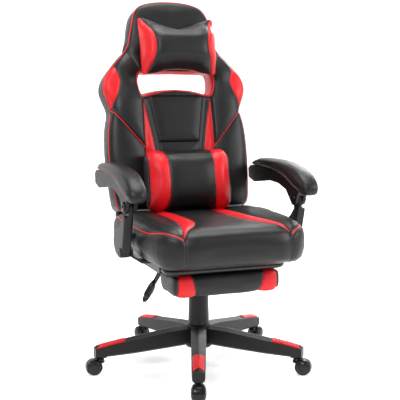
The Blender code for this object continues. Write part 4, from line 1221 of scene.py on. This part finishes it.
def make_casters():
    """Barrel hoods and dished wheels, about each caster's stem and trailing along the leg."""
    for i in LEGS:
        stem = leg_frame(i) @ Matrix.Translation((CASTER_OUT, 0, 0))
        axle = stem @ Matrix.Translation((TRAIL, 0, WHEEL_RADIUS))
        hood = new_object(f"caster_{i}_barrel_hood", sheet(hood_rows()))
        shelled(hood, hood.data.polygons[0].center, HOOD_SHELL)
        placed(hood, axle)
        neck = turned(NECK_PROFILE, 32)
        neck.transform(stem)
        web_side = ((-0.020, 0.0), (0.020, 0.0), (0.018, 0.020), (-0.018, 0.020))
        web = skin([[(x, y, z) for x, z in web_side] for y in (-0.0028, 0.0028)])
        web.transform(axle)
        joined(hood, neck, web)
        dressed(hood, "glossy_plastic", f"caster_{i}", "black_plastic", f"caster_{i}_hood", sharp=45)
        for side, turn in (("left", -90), ("right", 90)):
            wheel = new_object(f"caster_{i}_dished_wheel_{side}", turned(WHEEL_PROFILE, 48))
            placed(wheel, axle @ Matrix.Rotation(math.radians(turn), 4, "X"))
            body, node = f"caster_{i}_{side}", f"caster_{i}_wheel_{side}"
            dressed(wheel, "wheel_plastic", body, "wheel_plastic", node, sharp=35)


def make_column():
    """The gas lift's three cover rings, smoothly turned with lipped tops."""
    for node, body in (("cover_lower", "base"), ("cover_middle", "cover"), ("cover_upper", "mechanism")):
        low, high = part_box(node)
        radius = (high.x - low.x) / 2
        flare = 0.0025 if node == "cover_lower" else 0.0
        inner = radius - flare - 0.0018
        outer = radius - flare
        profile = [(inner, low.z), (outer + flare - 0.0006, low.z), (outer + flare, low.z + 0.0008)]
        profile += [(outer + flare * 0.9, low.z + 0.004), (outer, high.z - 0.030), (outer, high.z - 0.0014)]
        profile += [(outer - 0.0004, high.z - 0.0004), (outer - 0.0010, high.z), (inner, high.z)]
        piece = new_object(f"{node}_sleeve", turned(profile, 72))
        placed(piece, CHAIR_PLACE)
        dressed(piece, "black_plastic", body, "black_plastic", node, sharp=30)


def make_foot_bar():
    """The footrest's bent tube, about the column."""
    low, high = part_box("footrest_frame")
    low, high = low - COLUMN, high - COLUMN
    radius = (high.z - low.z) / 2 - 0.0001
    half, front, level, bend = high.x - radius, low.y + radius, (high.z + low.z) / 2, 0.030
    turns = np.linspace(0, -math.pi / 2, 13)
    corner = [(half - bend + bend * math.cos(t), front + bend + bend * math.sin(t), level) for t in turns]
    right = [(half, y, level) for y in np.linspace(high.y, front + bend + 0.004, 8)] + corner
    path = right + [(-x, y, z) for x, y, z in right[::-1]]
    piece = placed(new_object("foot_bar_tube", tube(path, float(radius), 28)), CHAIR_PLACE)
    dressed(piece, "gloss_steel", "footrest", "black_steel", "footrest_frame", sharp=60)


# The finish of each CAD node that keeps its shape.
KEPT = {
    "black_steel": ["seat_plate", "back_frame", "mechanism_housing", "tension_spring", "gas_column"],
    "bright_steel": ["piston_rod", "gas_cylinder", *(f"caster_{i}_axle" for i in LEGS)],
    "black_plastic": ["tension_knob", "star_base", *(f"arm_frame_{side}" for side, _ in SIDES)],
}
KEPT["black_steel"] += ["lift_lever", "tilt_lever"]
for pair in ("recline_bracket", "arm_bracket", "footrest_rail"):
    KEPT["black_steel"] += [f"{pair}_{side}" for side, _ in SIDES]


def make_frame_finishes():
    for look, nodes in KEPT.items():
        for node in nodes:
            materials = frame["nodes"][node].data.materials
            materials.clear()
            materials.append(finish(look))


# ---- Studio ----
def make_studio():
    """A floor that sweeps up behind the chair, a grey air and the lamps."""
    low, run, radius, top = -9.0, 2.6, 1.2, 6.0
    sweep = [(low, 0.0), (run, 0.0)]
    for i in range(1, 13):
        turn = math.radians(90 * i / 12)
        sweep.append((run + radius * math.sin(turn), radius - radius * math.cos(turn)))
    sweep.append((run + radius, top))
    floor = new_object("studio_sweep", sheet([[(x, y, z) for x in (low, -low)] for y, z in sweep]))
    floor.data.transform(Matrix.Rotation(CAMERA_TURN, 4, "Z"))
    floor.data.materials.append(finish("studio_floor"))
    floor.data.shade_smooth()
    world = bpy.data.worlds.new("studio_air")
    world.use_nodes = True
    air = world.node_tree.nodes["Background"].inputs
    air["Color"].default_value = WHITE
    air["Strength"].default_value = 0.30
    bpy.context.scene.world = world
    bpy.context.scene.view_settings.view_transform = "Standard"
    for settings in LAMPS:
        lamp(*settings)


def lamp(name, place, size, power):
    data = bpy.data.lights.new(name, "AREA")
    data.size, data.energy = size, power
    light = bpy.data.objects.new(name, data)
    light.location = place
    light.rotation_euler = (AIM - Vector(place)).to_track_quat("-Z", "Y").to_euler()
    bpy.context.scene.collection.objects.link(light)


def make_camera():
    data = bpy.data.cameras.new("studio_camera")
    data.sensor_width, data.lens, data.shift_x = 36.0, 78.03, 0.0035
    camera = bpy.data.objects.new("studio_camera", data)
    away = Vector((math.sin(CAMERA_TURN), -math.cos(CAMERA_TURN), 0)) * CAMERA_DISTANCE
    camera.location = COLUMN + away + Vector((0, 0, CAMERA_HEIGHT))
    camera.rotation_euler = (math.radians(90) - CAMERA_TIP, 0, CAMERA_TURN)
    bpy.context.scene.collection.objects.link(camera)
    bpy.context.scene.camera = camera


# ---- Operators, panel and run ----
class CHAIR_OT_back(bpy.types.Operator):
    """Make the back's cover with its window, panels and piping."""

    bl_idname = "chair.back"
    bl_label = "Back cover"

    def execute(self, context):
        make_back()
        make_back_skirt()
        return {"FINISHED"}


class CHAIR_OT_pillows(bpy.types.Operator):
    """Make the head pillow with its band, and the lumbar pillow."""

    bl_idname = "chair.pillows"
    bl_label = "Pillows"

    def execute(self, context):
        make_head_strap()
        make_head_pillow()
        make_lumbar()
        return {"FINISHED"}


class CHAIR_OT_seat(bpy.types.Operator):
    """Make the seat's cover with its bolsters and piping."""

    bl_idname = "chair.seat"
    bl_label = "Seat cover"

    def execute(self, context):
        make_seat()
        return {"FINISHED"}


class CHAIR_OT_foot_pad(bpy.types.Operator):
    """Make the footrest's pad."""

    bl_idname = "chair.foot_pad"
    bl_label = "Foot pad"

    def execute(self, context):
        make_foot_pad()
        return {"FINISHED"}


class CHAIR_OT_armrests(bpy.types.Operator):
    """Make the armrests' pads and the bosses of their hinges."""

    bl_idname = "chair.armrests"
    bl_label = "Armrests"

    def execute(self, context):
        make_arm_pads()
        make_arm_posts()
        make_arm_fittings()
        return {"FINISHED"}


class CHAIR_OT_hardware(bpy.types.Operator):
    """Finish the base, casters, covers, levers and steelwork."""

    bl_idname = "chair.hardware"
    bl_label = "Base and steelwork"

    def execute(self, context):
        make_frame_finishes()
        make_levers()
        make_leg_pads()
        make_casters()
        make_column()
        make_foot_bar()
        return {"FINISHED"}


class CHAIR_OT_studio(bpy.types.Operator):
    """Set up the floor, the lights and the camera."""

    bl_idname = "chair.studio"
    bl_label = "Studio"

    def execute(self, context):
        make_studio()
        make_camera()
        return {"FINISHED"}


OPERATORS = (
    CHAIR_OT_studio,
    CHAIR_OT_back,
    CHAIR_OT_pillows,
    CHAIR_OT_seat,
    CHAIR_OT_foot_pad,
    CHAIR_OT_armrests,
    CHAIR_OT_hardware,
)


class CHAIR_PT_panel(bpy.types.Panel):
    """Sizes, colours and pieces of the chair."""

    bl_idname = "CHAIR_PT_panel"
    bl_label = "Gaming chair"
    bl_space_type = "VIEW_3D"
    bl_region_type = "UI"
    bl_category = "Chair"

    def draw(self, context):
        for settings in (context.scene.chair_sizes, context.scene.chair_colours):
            for name in settings.__annotations__:
                self.layout.prop(settings, name)
        for operator in OPERATORS:
            self.layout.operator(operator.bl_idname)


CLASSES = (ChairSizes, ChairColours, *OPERATORS, CHAIR_PT_panel)


def register():
    for item in CLASSES:
        bpy.utils.register_class(item)
    bpy.types.Scene.chair_sizes = bpy.props.PointerProperty(type=ChairSizes)
    bpy.types.Scene.chair_colours = bpy.props.PointerProperty(type=ChairColours)


def unregister():
    del bpy.types.Scene.chair_sizes
    del bpy.types.Scene.chair_colours
    for item in reversed(CLASSES):
        bpy.utils.unregister_class(item)


def main():
    register()
    for operator in OPERATORS:
        getattr(bpy.ops.chair, operator.bl_idname.split(".")[1])()


if __name__ == "__main__":
    main()
